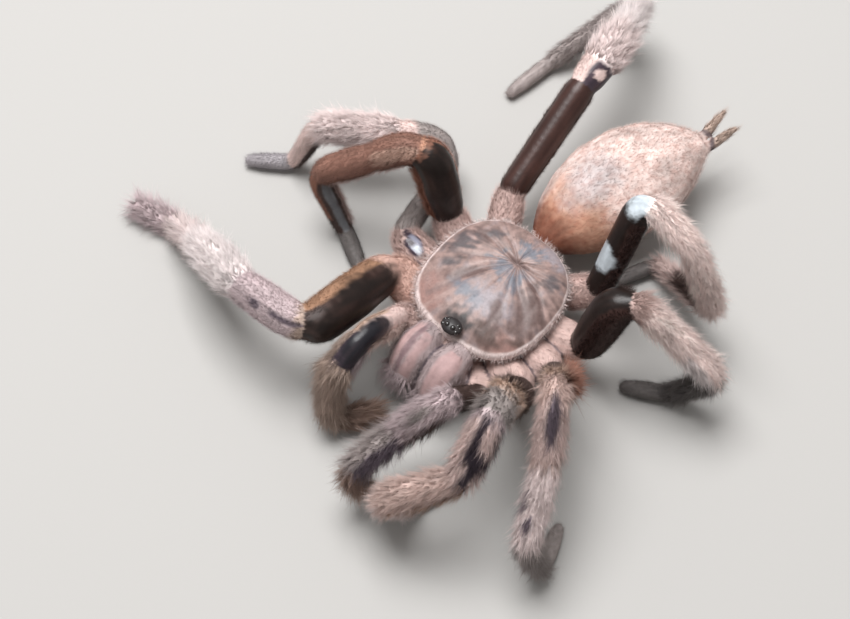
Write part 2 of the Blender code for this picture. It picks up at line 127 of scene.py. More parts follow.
def make_room():
    """The floor, the sky, the lamp and the camera."""
    mesh = bpy.data.meshes.new("floor")
    half = FLOOR_HALF_WIDTH
    corners = [(-half, -half, 0), (half, -half, 0), (half, half, 0), (-half, half, 0)]
    mesh.from_pydata(corners, [], [(0, 1, 2, 3)])
    matt = new_material("floor", {"Base Color": (*FLOOR_COLOUR, 1), "Roughness": 0.9})[0]
    new_piece("floor", mesh, matt)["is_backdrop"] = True

    world = bpy.data.worlds.new("sky")
    world.use_nodes = True
    glow = {"Color": (*SKY_COLOUR, 1), "Strength": SKY_STRENGTH}
    plug(world.node_tree.nodes["Background"], glow)
    bpy.context.scene.world = world

    lamp = linked("lamp", bpy.data.lights.new("lamp", "AREA"))
    lamp.data.energy = LAMP_POWER
    lamp.data.size = LAMP_WIDTH
    lamp.location = LAMP_PLACE
    lamp.rotation_euler = (-LAMP_PLACE).to_track_quat("-Z", "Y").to_euler()

    low, high = (Vector(corner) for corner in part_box("carapace"))
    camera = linked("camera", bpy.data.cameras.new("camera"))
    camera.data.lens = CAMERA_LENS
    camera.data.clip_start = 10 * MM
    camera.location = (low + high) / 2 + CAMERA_FROM_CARAPACE
    level = cos(CAMERA_ELEVATION)
    gaze = Vector((-sin(CAMERA_AZIMUTH) * level, cos(CAMERA_AZIMUTH) * level, -sin(CAMERA_ELEVATION)))
    camera.rotation_euler = gaze.to_track_quat("-Z", "Y").to_euler()
    bpy.context.scene.camera = camera
    bpy.context.scene.view_settings.view_transform = "Standard"


make_room()


# ---------------------------------------------------------------- the limbs' and body's courses
# Every limb, jaw and spinneret and the abdomen is a swept form. Its centreline and its girth are
# read from the rings of the frame's solids, and everything that grows on it is placed by them.
STATION_SPACING = 0.35 * MM
STATION_SIDES = 24
LIMB_SIDES, JAW_SIDES, ABDOMEN_SIDES, SPIKE_SIDES = 10, 14, 20, 8     # corners to a ring of the solids
LEG_NAMES = [f"leg_{side}{number}" for side in "RL" for number in (1, 2, 3, 4)]
PALP_NAMES = ["palp_R", "palp_L"]
LIMB_PARTS = ("coxa", "femur", "patella", "tibia")
BODY_MIDDLE = sum((Vector(corner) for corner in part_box("sternum")), Vector()) / 2
FLAT_DOT = 0.9998                # two faces this much alike in heading lie in one flat


def welded(node):
    """A frame solid as one joined shape."""
    shape = bmesh.new()
    shape.from_mesh(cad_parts[node].data)
    bmesh.ops.remove_doubles(shape, verts=shape.verts, dist=0.001 * MM)
    shape.normal_update()
    return shape


def flat_round(seed):
    """The flat patch of faces round one face."""
    patch, waiting = {seed}, [seed]
    while waiting:
        for edge in waiting.pop().edges:
            for face in edge.link_faces:
                if face not in patch and face.normal.dot(seed.normal) > FLAT_DOT:
                    patch.add(face)
                    waiting.append(face)
    return patch


def first_ring(shape, sides, near):
    """The corners round the flat end of a swept solid that is nearest to a place."""
    closest = sorted(shape.verts, key=lambda corner: (corner.co - near).length)[:sides]
    ring, reach = None, 1.0
    for seed in {face for corner in closest for face in corner.link_faces}:
        corners = {corner for face in flat_round(seed) for corner in face.verts}
        distance = sum((corner.co - near).length for corner in corners) / len(corners)
        if len(corners) == sides and distance < reach:
            ring, reach = corners, distance
    return ring


def rings_of(node, sides, before):
    """The rings of a swept solid in order, starting at the ring or the place before it."""
    shape = welded(node)
    if isinstance(before, Vector):
        ring = first_ring(shape, sides, before)
    else:
        places = [Vector(place) for place in before]
        ring = {min(shape.verts, key=lambda corner: (corner.co - place).length) for place in places}
    rings, seen = [], set()
    while ring:
        rings.append(np.array([corner.co for corner in ring]))
        seen |= ring
        beside = {edge.other_vert(corner) for corner in ring for edge in corner.link_edges}
        ring = beside - seen
    shape.free()
    return rings


def unit(vectors):
    """Vectors at length one."""
    return vectors / np.maximum(np.linalg.norm(vectors, axis=-1, keepdims=True), 1e-12)


def even_out(rows, rounds):
    """Smooth rows of numbers along their length, its ends apart."""
    for _ in range(rounds):
        rows[1:-1] += (rows[2:] + rows[:-2] - 2 * rows[1:-1]) / 4


class Course:
    """A swept form: its centreline, its heading, its own upward side and its girth all along.

    Angles round it are counted from the upward side. marks are the distances along it at which
    its parts meet.
    """

    def __init__(self, name, nodes, sides, near):
        self.name = name
        rings, starts = [], []
        for node in nodes:
            starts.append(len(rings))
            rings += rings_of(node, sides, rings[-1] if rings else near)
        centres = np.array([ring.mean(axis=0) for ring in rings])
        along = np.concatenate([[0], np.cumsum(np.linalg.norm(np.diff(centres, axis=0), axis=1))])
        self.length = along[-1]
        self.marks = [0.0] + [along[n - 1 : n + 1].mean() for n in starts[1:]] + [self.length]
        heading = unit(np.gradient(centres, axis=0))
        upward = self.carried(heading)
        self.angles = np.linspace(-pi, pi, STATION_SIDES, endpoint=False)
        girths = []
        for ring, centre, ahead, up in zip(rings, centres, heading, upward):
            spokes = ring - centre
            turn = np.arctan2(spokes @ np.cross(ahead, up), spokes @ up)
            reach = np.linalg.norm(spokes, axis=1)
            girths.append(np.interp(self.angles, turn, reach, period=tau))
        count = int(self.length / STATION_SPACING) + 2
        self.along = np.linspace(0, self.length, count)
        self.centres = self.blended(along, centres)
        even_out(self.centres, 3)
        self.girths = self.blended(along, np.array(girths))
        self.heading = unit(np.gradient(self.centres, axis=0))
        self.upward = self.carried(self.heading)

    def blended(self, along, rows):
        """Rows of numbers known at some distances, at every station."""
        return np.stack([np.interp(self.along, along, column) for column in rows.T], axis=1)

    def carried(self, heading):
        """The upward side, carried along the centreline without twist."""
        up = np.array((0.0, 0.0, 1.0)) - heading[0] * heading[0][2]
        found = []
        for ahead in heading:
            up = unit(up - ahead * (ahead @ up))
            found.append(up)
        return np.array(found)

    def parts(self):
        """For every station, which part it is in and its share of the way along that part."""
        part = np.clip(np.searchsorted(self.marks, self.along, "right") - 1, 0, len(self.marks) - 2)
        starts, ends = np.array(self.marks[:-1])[part], np.array(self.marks[1:])[part]
        return part, (self.along - starts) / (ends - starts)


courses = {}
for limb in LEG_NAMES + PALP_NAMES:
    parts = (*LIMB_PARTS, "foot" if limb in LEG_NAMES else "tarsus")
    courses[limb] = Course(limb, [f"{limb}_{part}" for part in parts], LIMB_SIDES, BODY_MIDDLE)
courses["abdomen"] = Course("abdomen", ["abdomen"], ABDOMEN_SIDES, BODY_MIDDLE)
tail = Vector(courses["abdomen"].centres[-1])
for side in "RL":
    for name, sides, near in (("chelicera", JAW_SIDES, BODY_MIDDLE), ("spinneret", SPIKE_SIDES, tail)):
        courses[f"{name}_{side}"] = Course(f"{name}_{side}", [f"{name}_{side}"], sides, near)


# ---------------------------------------------------------------- the skin
# One closed skin over the limbs, jaws, abdomen and sternum, as far inside the solids as the coat
# is deep. It is swept along the courses, and then grown together into one surface.
SKIN_CELL = 0.36 * MM
ROOT_REACH = 1.6 * MM            # how far each swept form runs into what it grows from
WAIST_HALF_LENGTH = 0.7 * MM
COXA_SPREAD = 0.30               # how much wider than its solid the flesh of a coxa is
JAW_SPREAD = 0.27                # how much further a jaw's flesh reaches towards the other jaw
FLANK_INSET = 0.6 * MM           # how far the soft flank lies inside the shield's edge
FLANK_HEIGHTS = (4.2 * MM, 8.9 * MM)
COAT_KINDS = {                   # coat's depth as a share of the girth, waist at a joint
    "fleshy": (0.06, 0.08),
    "bald": (0.03, 0.12),
    "velvet": (0.22, 0.08),
    "shaggy": (0.40, 0.05),
    "plain": (0.07, 0.0),
    "sole": (0.26, 0.05),
}
PART_KINDS = {                   # coat of each part of a form, from its root; others are fleshy
    "leg_R1": "fleshy bald velvet velvet shaggy sole",
    "leg_R2": "fleshy velvet velvet velvet velvet sole",
    "leg_R3": "fleshy bald velvet velvet velvet sole",
    "leg_R4": "fleshy bald bald shaggy velvet sole",
    "leg_L1": "fleshy velvet shaggy shaggy shaggy sole",
    "leg_L2": "fleshy velvet shaggy shaggy shaggy sole",
    "leg_L3": "fleshy bald shaggy shaggy shaggy sole",
    "leg_L4": "fleshy bald shaggy shaggy shaggy sole",
    "palp_R": "fleshy velvet velvet shaggy shaggy",
    "palp_L": "fleshy velvet velvet shaggy shaggy",
    "abdomen": "plain",
}
DEPTH_ROUNDS = 12                # how often the coat's depth is evened out along a form
ANKLE_FROM_KNEE = 2 * MM
TOE_STATIONS = 12                # the last stations of a foot, which have no ankle


def add_ankle(course):
    """The mark between metatarsus and tarsus, where the foot bends most."""
    foot = course.along > course.marks[-2] + ANKLE_FROM_KNEE
    bend = np.linalg.norm(np.gradient(course.heading, axis=0), axis=1) * foot
    bend[-TOE_STATIONS:] = 0
    course.marks.insert(-1, course.along[bend.argmax()])


def kinds_of(name):
    """What coat each part of a form has, from its root to its end."""
    return PART_KINDS.get(name, "fleshy").split()


def set_skin_girth(course):
    """The girth of the skin: the solid's, less the coat's depth, with a waist at each joint."""
    kinds = kinds_of(course.name)
    part = course.parts()[0]
    depth = np.array([COAT_KINDS[kind][0] for kind in kinds])[part]
    even_out(depth, DEPTH_ROUNDS)
    waist = np.zeros(len(depth))
    for mark, kind in zip(course.marks[1:-1], kinds[1:]):
        nearness = np.exp(-(((course.along - mark) / WAIST_HALF_LENGTH) ** 2))
        waist = np.maximum(waist, nearness * COAT_KINDS[kind][1])
    course.skin = course.girths * ((1 - depth) * (1 - waist))[:, None]
    if course.name.startswith("chelicera"):
        inward = np.sin(course.angles) * (1 if course.name.endswith("L") else -1)
        course.skin *= 1 + JAW_SPREAD * np.clip(inward, 0, 1)
    if course.name in LEG_NAMES + PALP_NAMES:
        share = course.along / course.marks[1]
        bulge = COXA_SPREAD * np.sin(pi * np.clip(share, 0, 1))
        course.skin *= 1 + bulge[:, None] * np.abs(np.sin(course.angles))


def swept_mesh(course):
    """Corners and faces of a course's skin as a closed tube that starts inside its neighbour."""
    across = np.cross(course.heading, course.upward)
    spokes = np.cos(course.angles)[None, :, None] * course.upward[:, None, :]
    spokes = spokes + np.sin(course.angles)[None, :, None] * across[:, None, :]
    rings = course.centres[:, None, :] + spokes * course.skin[:, :, None]
    rings = np.concatenate([rings[:1] - course.heading[0] * ROOT_REACH, rings])
    count, sides = rings.shape[:2]
    ends = np.array([rings[0].mean(axis=0), rings[-1].mean(axis=0)])
    corners = np.concatenate([rings.reshape(-1, 3), ends])
    faces = []
    for ring in range(count - 1):
        for side in range(sides):
            near, far = ring * sides, (ring + 1) * sides
            after = (side + 1) % sides
            faces.append((near + side, near + after, far + after, far + side))
    for side in range(sides):
        after = (side + 1) % sides
        last = (count - 1) * sides
        faces.append((side, count * sides, after))
        faces.append((last + after, count * sides + 1, last + side))
    return corners, faces


def add_faces(shape, corners, faces):
    """Add corners and faces to a shape."""
    made = [shape.verts.new(corner) for corner in corners]
    for face in faces:
        shape.faces.new([made[index] for index in face])
    return shape


def add_flank(shape):
    """The soft flank between the coxae and the shield: a rounded disc under the shield's edge."""
    low, high = (Vector(corner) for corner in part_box("carapace"))
    bottom, top = FLANK_HEIGHTS
    centre = Vector(((low.x + high.x) / 2, (low.y + high.y) / 2, (bottom + top) / 2))
    inset = Vector((FLANK_INSET, FLANK_INSET, 0))
    size = (high - low) / 2 - inset
    size.z = (top - bottom) / 2
    for corner in bmesh.ops.create_uvsphere(shape, u_segments=64, v_segments=32, radius=1)["verts"]:
        x, y, z = corner.co
        bulge = min(1.0, Vector((x, y)).length / max(abs(x), abs(y), 1e-6)) ** 0.25
        corner.co = centre + Vector((x * bulge * size.x, y * bulge * size.y, z * size.z))


def applied(host):
    """The mesh that an object's modifiers give."""
    bpy.context.view_layer.update()
    return bpy.data.meshes.new_from_object(host.evaluated_get(bpy.context.evaluated_depsgraph_get()))


def grow_skin():
    """All the swept forms, the flank and the sternum as one closed surface."""
    shape = welded("sternum")
    add_flank(shape)
    for course in courses.values():
        add_faces(shape, *swept_mesh(course))
    bmesh.ops.recalc_face_normals(shape, faces=shape.faces)
    forms = linked("skin_forms", new_mesh("skin_forms", shape))
    remesh = forms.modifiers.new("grow", "REMESH")
    remesh.mode = "VOXEL"
    remesh.voxel_size = SKIN_CELL
    smooth = forms.modifiers.new("smooth", "SMOOTH")
    smooth.factor = 0.5
    smooth.iterations = 5
    grown = applied(forms)
    bpy.data.objects.remove(forms)
    grown.name = "skin"
    grown.shade_smooth()
    return grown


for limb in LEG_NAMES:
    add_ankle(courses[limb])
for course in courses.values():
    set_skin_girth(course)
skin_mesh = grow_skin()


# ---------------------------------------------------------------- where each place on the skin is
# Everything drawn or grown on the skin is placed by limb, part, share along the part and angle
# round it, so each place on the skin first learns its nearest station.
UNWRAP_LENGTH = 80 * MM          # length that fills the unwrap from side to side
UNWRAP_STRIPS = 17.0             # strips side by side on the unwrap, one for each form
UNWRAP_WIDTH = 0.95 / 18.5       # width of a strip, a little less than its share
CORE_DEPTH = 0.5 * MM            # skin further than this from every form is the body's core
BLOCK = 2000                     # places surveyed at a time


def corners_of(mesh):
    """A mesh's corner places."""
    places = np.empty(len(mesh.vertices) * 3, np.float32)
    mesh.vertices.foreach_get("co", places)
    return places.reshape(-1, 3)


class Survey:
    """For each place on the skin, its form, part, share along the part, angle and directions."""

    def __init__(self, places):
        every = list(courses.values())
        centres = np.concatenate([course.centres for course in every]).astype(np.float32)
        girths = np.concatenate([course.skin.mean(axis=1) for course in every]).astype(np.float32)
        starts = np.cumsum([0] + [len(course.along) for course in every[:-1]])
        nearest = np.empty(len(places), int)
        depth, self.rift = np.empty((2, len(places)), np.float32)
        for start in range(0, len(places), BLOCK):
            here = slice(start, start + BLOCK)
            reach = np.linalg.norm(places[here, None] - centres[None], axis=2) - girths
            nearest[here] = reach.argmin(axis=1)
            depth[here] = reach.min(axis=1)
            forms = np.sort(np.minimum.reduceat(reach, starts, axis=1), axis=1)
            self.rift[here] = forms[:, 1] - forms[:, 0]
        self.names = list(courses)
        self.on_core = depth > CORE_DEPTH
        rows = [[np.full(len(course.along), n), course.heading, course.upward, course.along,
                 *course.parts()] for n, course in enumerate(every)]
        found = [np.concatenate(column)[nearest] for column in zip(*rows)]
        self.form, self.heading, self.upward, self.along, self.part, self.share = found
        spokes = places - centres[nearest]
        self.along = self.along + (spokes * self.heading).sum(axis=1)
        spokes = spokes - self.heading * (spokes * self.heading).sum(axis=1)[:, None]
        across = np.cross(self.heading, self.upward)
        self.angle = np.arctan2((spokes * across).sum(axis=1), (spokes * self.upward).sum(axis=1))
        self.spoke = unit(spokes)

    def of(self, name):
        """Which places are on a form."""
        return (self.form == self.names.index(name)) & ~self.on_core


# ---------------------------------------------------------------- the markings
# Skin and coat share one set of colours. Each part of a limb has its ground colour, and bands and
# spots lie over it: bald dark skin, rusty velvet, pale bloom. Their edges wander a little.
TINTS = {
    "cream": (0.47, 0.335, 0.305), "salmon": (0.48, 0.31, 0.26), "dark": (0.011, 0.0065, 0.0055),
    "liver": (0.036, 0.016, 0.013), "pink": (0.6, 0.46, 0.43), "pale": (0.71, 0.6, 0.585),
    "white": (0.76, 0.685, 0.675), "mauve": (0.46, 0.37, 0.38), "plum": (0.04, 0.028, 0.038),
    "rust": (0.25, 0.115, 0.078), "copper": (0.42, 0.27, 0.215), "gold": (0.26, 0.145, 0.09),
    "umber": (0.06, 0.036, 0.031), "grey": (0.26, 0.225, 0.215), "slate": (0.125, 0.112, 0.108),
    "steel": (0.145, 0.15, 0.16), "bloom": (0.47, 0.52, 0.56), "glaze": (0.2, 0.2, 0.25),
    "grape": (0.112, 0.086, 0.104), "fawn": (0.33, 0.28, 0.27), "tan": (0.6, 0.462, 0.425),
    "orange": (0.45, 0.24, 0.165), "brown": (0.4, 0.3, 0.25), "dusk": (0.54, 0.4, 0.36),
    "ash": (0.31, 0.245, 0.245), "straw": (0.26, 0.175, 0.14), "rose": (0.88, 0.73, 0.69),
    "wine": (0.17, 0.112, 0.118), "ember": (0.17, 0.062, 0.038), "cinnamon": (0.22, 0.112, 0.084),
    "russet": (0.22, 0.105, 0.075), "honey": (0.44, 0.31, 0.245), "blush": (0.36, 0.24, 0.235),
    "ink": (0.013, 0.012, 0.016), "dove": (0.31, 0.285, 0.3),
}
PART_TINTS = {                   # ground tint of each part of a form, from its root
    "leg_R1": "salmon rust pink white pale mauve",
    "leg_R2": "cream grey grey pale pink dove",
    "leg_R3": "cream dark cinnamon cinnamon umber slate",
    "leg_R4": "cream liver plum pale fawn fawn",
    "leg_L1": "cream umber pink dusk pale grey",
    "leg_L2": "cream umber pink pale grey grey",
    "leg_L3": "cream dark rose rose slate slate",
    "leg_L4": "cream dark rose rose pink slate",
    "palp_R": "cream pink plum brown straw",
    "palp_L": "cream umber mauve fawn straw",
    "abdomen": "tan",
    "chelicera_R": "ash",
    "chelicera_L": "ash",
    "spinneret_R": "straw",
    "spinneret_L": "straw",
}
HAIR_KINDS = {                   # length, lift in degrees, tufts to a square mm, long tuft or not
    "fleshy": (1.4 * MM, 26, 15.0, False),
    "down": (0.9 * MM, 14, 8.0, True),
    "bald": (0.35 * MM, 12, 1.5, False),
    "glassy": (0.35 * MM, 12, 0.4, False),
    "nap": (0.5 * MM, 16, 8.0, False),
    "velvet": (0.8 * MM, 38, 16.0, False),
    "fuzz": (1.2 * MM, 30, 16.0, False),
    "brush": (1.7 * MM, 42, 13.0, True),
    "shaggy": (2.8 * MM, 39, 9.0, True),
    "mane": (3.3 * MM, 44, 9.0, True),
    "plume": (3.2 * MM, 50, 8.0, True),
    "tassel": (1.7 * MM, 15, 16.0, True),
    "fan": (3.6 * MM, 34, 8.0, True),
    "fringe": (4.4 * MM, 52, 14.0, True),
    "plain": (0.85 * MM, 19, 15.0, False),
    "sole": (0.6 * MM, 26, 18.0, False),
}
BANDS = {                        # part, shares from and to, angle and half angle, tint, hair
    "leg_R1": (
        (1, -1, 2, 0, 180, "umber", "velvet"), (1, 0, 1, 100, 52, "gold", "velvet"),
        (2, 0, 1, 0, 180, "mauve", "fuzz"), (3, 0, 1, 0, 180, "white", "shaggy"),
        (5, -1, 2, 0, 180, "mauve", "plume"), (1, 0, 0.16, 0, 180, "salmon", "velvet"),
        (2, 0, 0.12, 0, 180, "brown", None), (2, 0.06, 0.38, -14, 9, "grape", None),
        (4, 0.15, 1, 0, 180, "pale", "plume"),
    ),
    "leg_R4": (
        (3, 0, 1, 0, 180, "white", "mane"), (4, 0, 1, 0, 180, "fawn", "brush"),
        (5, -1, 2, 0, 180, "fawn", "velvet"), (1, 0.02, 0.96, -94, 22, "liver", "velvet"),
        (1, 0.02, 0.96, 94, 22, "liver", "velvet"), (2, 0, 1, -60, 50, "pink", "velvet"),
        (1, 0, 1, 180, 80, "rust", "velvet"), (2, 0.42, 1, 0, 180, "pale", "shaggy"),
    ),
    "leg_L3": (
        (5, -1, 2, 0, 180, "slate", "velvet"), (1, 0.05, 0.95, -94, 26, "liver", "brush"),
        (1, 0.05, 0.95, 94, 26, "liver", "brush"), (0, 0, 1, 0, 180, "cream", "down"),
        (1, 0, 1, 180, 75, "liver", "velvet"), (2, 0, 0.3, 0, 180, "cream", "shaggy"),
        (3, 0.35, 1, 150, 70, "white", "shaggy"),
    ),
    "leg_R2": (
        (5, -1, 2, 0, 180, "dove", "velvet"), (4, 0, 1, -95, 34, "umber", None),
        (2, 0.7, 1, 0, 180, "pink", "velvet"), (3, 0, 1, 0, 180, "pale", "shaggy"),
    ),
    "leg_R3": (
        (1, 0, 1, 180, 100, "rust", "velvet"), (1, 0.93, 1, 60, 90, "rust", "velvet"),
        # The copper band on top of the knee is the hair's colour made paler as a painted highlight.
        (2, 0, 0.8, -8, 26, "copper", "brush"), (4, 0, 0.7, 14, 30, "rust", "velvet"),
        (4, 0, 0.9, -145, 30, "pink", "brush"), (2, 0.1, 1, -115, 34, "pink", "brush"),
        (3, 0, 0.9, -115, 34, "pink", "brush"), (4, 0.05, 1, -66, 24, "steel", "bald"),
        (1, 0.05, 0.95, -92, 24, "rust", "brush"),
    ),
    "leg_L4": (
        (1, 0.02, 0.86, -94, 28, "liver", "brush"), (1, 0.02, 0.86, 94, 28, "liver", "brush"),
        (1, 0.9, 1, -5, 70, "bloom", "glassy"), (2, 0, 0.1, 5, 60, "bloom", "glassy"),
        # The umber underside of the folded metatarsus is brown hair darkened further by painted shade.
        (4, 0, 0.6, 180, 90, "umber", None),
    ),
    "leg_L1": (
        (0, 0, 1, 0, 180, "cream", "down"), (3, 0, 1, -140, 36, "gold", None),
        (1, 0.45, 1, 0, 180, "umber", "shaggy"), (1, 0.78, 1, 0, 180, "honey", "shaggy"),
        (1, 0.88, 1, 0, 180, "grey", "shaggy"), (2, -1, 0.14, 0, 180, "mauve", None),
        (1, 0.55, 0.9, -150, 40, "brown", "velvet"), (1, 0.55, 0.9, 60, 40, "straw", "velvet"),
        (2, 0.1, 0.58, -130, 16, "plum", None), (2, 0.12, 0.64, -38, 19, "plum", None),
        (2, 0.46, 0.72, -86, 42, "plum", None), (2, 0.64, 1, -70, 22, "plum", None),
    ),
    "leg_L2": (
        (0, 0, 1, 0, 180, "cream", "down"), (1, 0.45, 1, 0, 180, "umber", "shaggy"),
        (1, 0.78, 1, 0, 180, "honey", "shaggy"), (1, 0.9, 1, 0, 180, "dusk", "shaggy"),
        (2, -1, 0.16, 0, 180, "dusk", None), (1, 0.15, 0.9, -105, 46, "russet", "fringe"),
        (1, 0.5, 0.9, 80, 40, "straw", "velvet"), (2, 0.9, 1, 0, 180, "dusk", None),
    ),
    "palp_L": (
        (0, 0, 1, 0, 180, "cream", "down"), (1, 0.82, 1, 0, 180, "mauve", "shaggy"),
        (2, 0, 1, 0, 180, "mauve", "shaggy"), (2, 0, 1, 180, 60, "umber", None),
        (3, 0, 1, 0, 180, "fawn", "plume"), (3, 0, 1, -115, 40, "grape", None),
        (4, 0, 1, 0, 180, "straw", "plume"),
    ),
    "palp_R": (
        (1, 0, 1, -90, 60, "dusk", "shaggy"), (2, 0, 1, -100, 60, "mauve", "shaggy"),
        (1, 0.3, 1, 108, 40, "honey", "velvet"), (2, 0, 1, 116, 36, "brown", "brush"),
        (2, 0.62, 1, 0, 180, "brown", "fan"), (3, -0.1, 1, 0, 180, "brown", "fan"),
        (4, 0, 1, 0, 180, "straw", "fan"),
    ),
    "chelicera_R": (
        (0, 0.05, 0.7, 31, 17, "blush", "nap"), (0, 0.12, 0.66, -24, 15, "blush", "nap"),
        # The dark line along the jaw between its two bald stripes is the painted shade of a crease.
        (0, 0.05, 0.78, 4, 8, "wine", "nap"), (0, 0.3, 1, 130, 70, "mauve", "brush"),
        (0, 0.62, 1, 0, 180, "mauve", "mane"),
    ),
    "chelicera_L": (
        (0, 0.1, 0.76, -6, 32, "blush", "nap"), (0, 0.7, 1, 0, 180, "mauve", "mane"),
    ),
    "spinneret_R": ((0, -1, 2, 0, 180, "brown", "tassel"),),
    "spinneret_L": ((0, -1, 2, 0, 180, "brown", "tassel"),),
    "abdomen": (
        (0, 0.06, 0.42, 84, 64, "orange", None), (0, -0.6, 0.36, 62, 115, "orange", None),
        (0, -0.6, 0.25, 48, 150, "ember", None),
    ),
}
SPOTS = {                        # part, share and half, angle and half, slant, tint, hair
    "leg_R2": (
        (0, 0.76, 0.2, -8, 34, 40, "plum", "glassy"), (0, 0.74, 0.15, -4, 20, 60, "glaze", "glassy"),
        (0, 0.68, 0.05, -12, 9, 60, "bloom", "glassy"), (0, 0.8, 0.035, -14, 9, 0, "plum", "bald"),
    ),
    "leg_R1": (
        (1, 0.54, 0.5, -14, 76, 0, "dark", "bald"), (2, 0.62, 0.09, -20, 13, 0, "grape", None),
    ),
    "leg_R3": ((1, 0.98, 0.05, 50, 40, 0, "orange", "velvet"),),
    # The pink spot on the shiny plum knee is a painted highlight.
    "leg_R4": ((2, 0.25, 0.1, 30, 22, 0, "pink", "bald"),),
    "leg_L2": (
        (2, 0.38, 0.32, -38, 33, 0, "grape", None), (3, 0.46, 0.11, 34, 24, 0, "grape", None),
        (3, 0.7, 0.09, -14, 26, 0, "grape", None),
    ),
    "leg_L4": ((1, 0.4, 0.13, 14, 68, 0, "bloom", "glassy"),),
    "palp_R": (
        (1, 1, 0.5, 8, 74, 0, "ink", "bald"), (2, 0, 0.55, 8, 74, 0, "ink", "bald"),
    ),
    "palp_L": ((2, 0.34, 0.2, -60, 22, 0, "grey", None),),
    "abdomen": ((0, 0.42, 0.13, -6, 32, 0, "dove", None),),
}
BARENESS = {"bald": 0.6, "glassy": 1.0}
SPOT_SWAY = 0.25                 # how far a spot's edge wanders, as a share of its half size
FAINT_SPOTS = 0.55               # strength of the abdomen's spots
# Strength of the painted shade in the slits between the bases of the limbs
RIFT_PAINTED_SHADE = 0.85
RIFT_THINNING = 0.8
FLOOR_DIVE = 0.8                 # how much of its height above the floor a hair may bend down
SPOT_BLURS = {"abdomen": 0.9, "palp_R": 0.5, "leg_R1": 0.5}
SOFT_SHARE = 0.06
SOFT_ANGLE = 13
EDGE_SWAY = (0.028, 7.0)         # how far a mark's edge wanders, in shares and in degrees
STREAK_DEPTH = 0.30              # how much darker or paler the streaks along a limb are
CLOUD_DEPTH = 0.16
BALD_GLINT = np.array((0.022, 0.010, 0.008))
SPECKLE_DEPTH = 0.22             # of the abdomen's granular speckle
RIFT_HALF_WIDTH = 0.25 * MM      # painted shade in the slit where the bases of two limbs meet, whose hair is thinned too


def wander(places, scale, seed):
    """Smooth random numbers between about -1 and 1 over places in space."""
    shift = Vector((seed * 7.3, seed * 3.1, seed * 5.7))
    return np.array([noise.noise(Vector(place) * scale + shift) for place in places.tolist()])


def blend(colours, tint, weight):
    """Bring colours towards a tint, each by its own weight."""
    colours += (np.array(tint) - colours) * weight[..., None]


def eased(value, edge):
    """0 below zero, 1 above edge, smooth between."""
    share = np.clip(value / edge, 0, 1)
    return share * share * (3 - 2 * share)


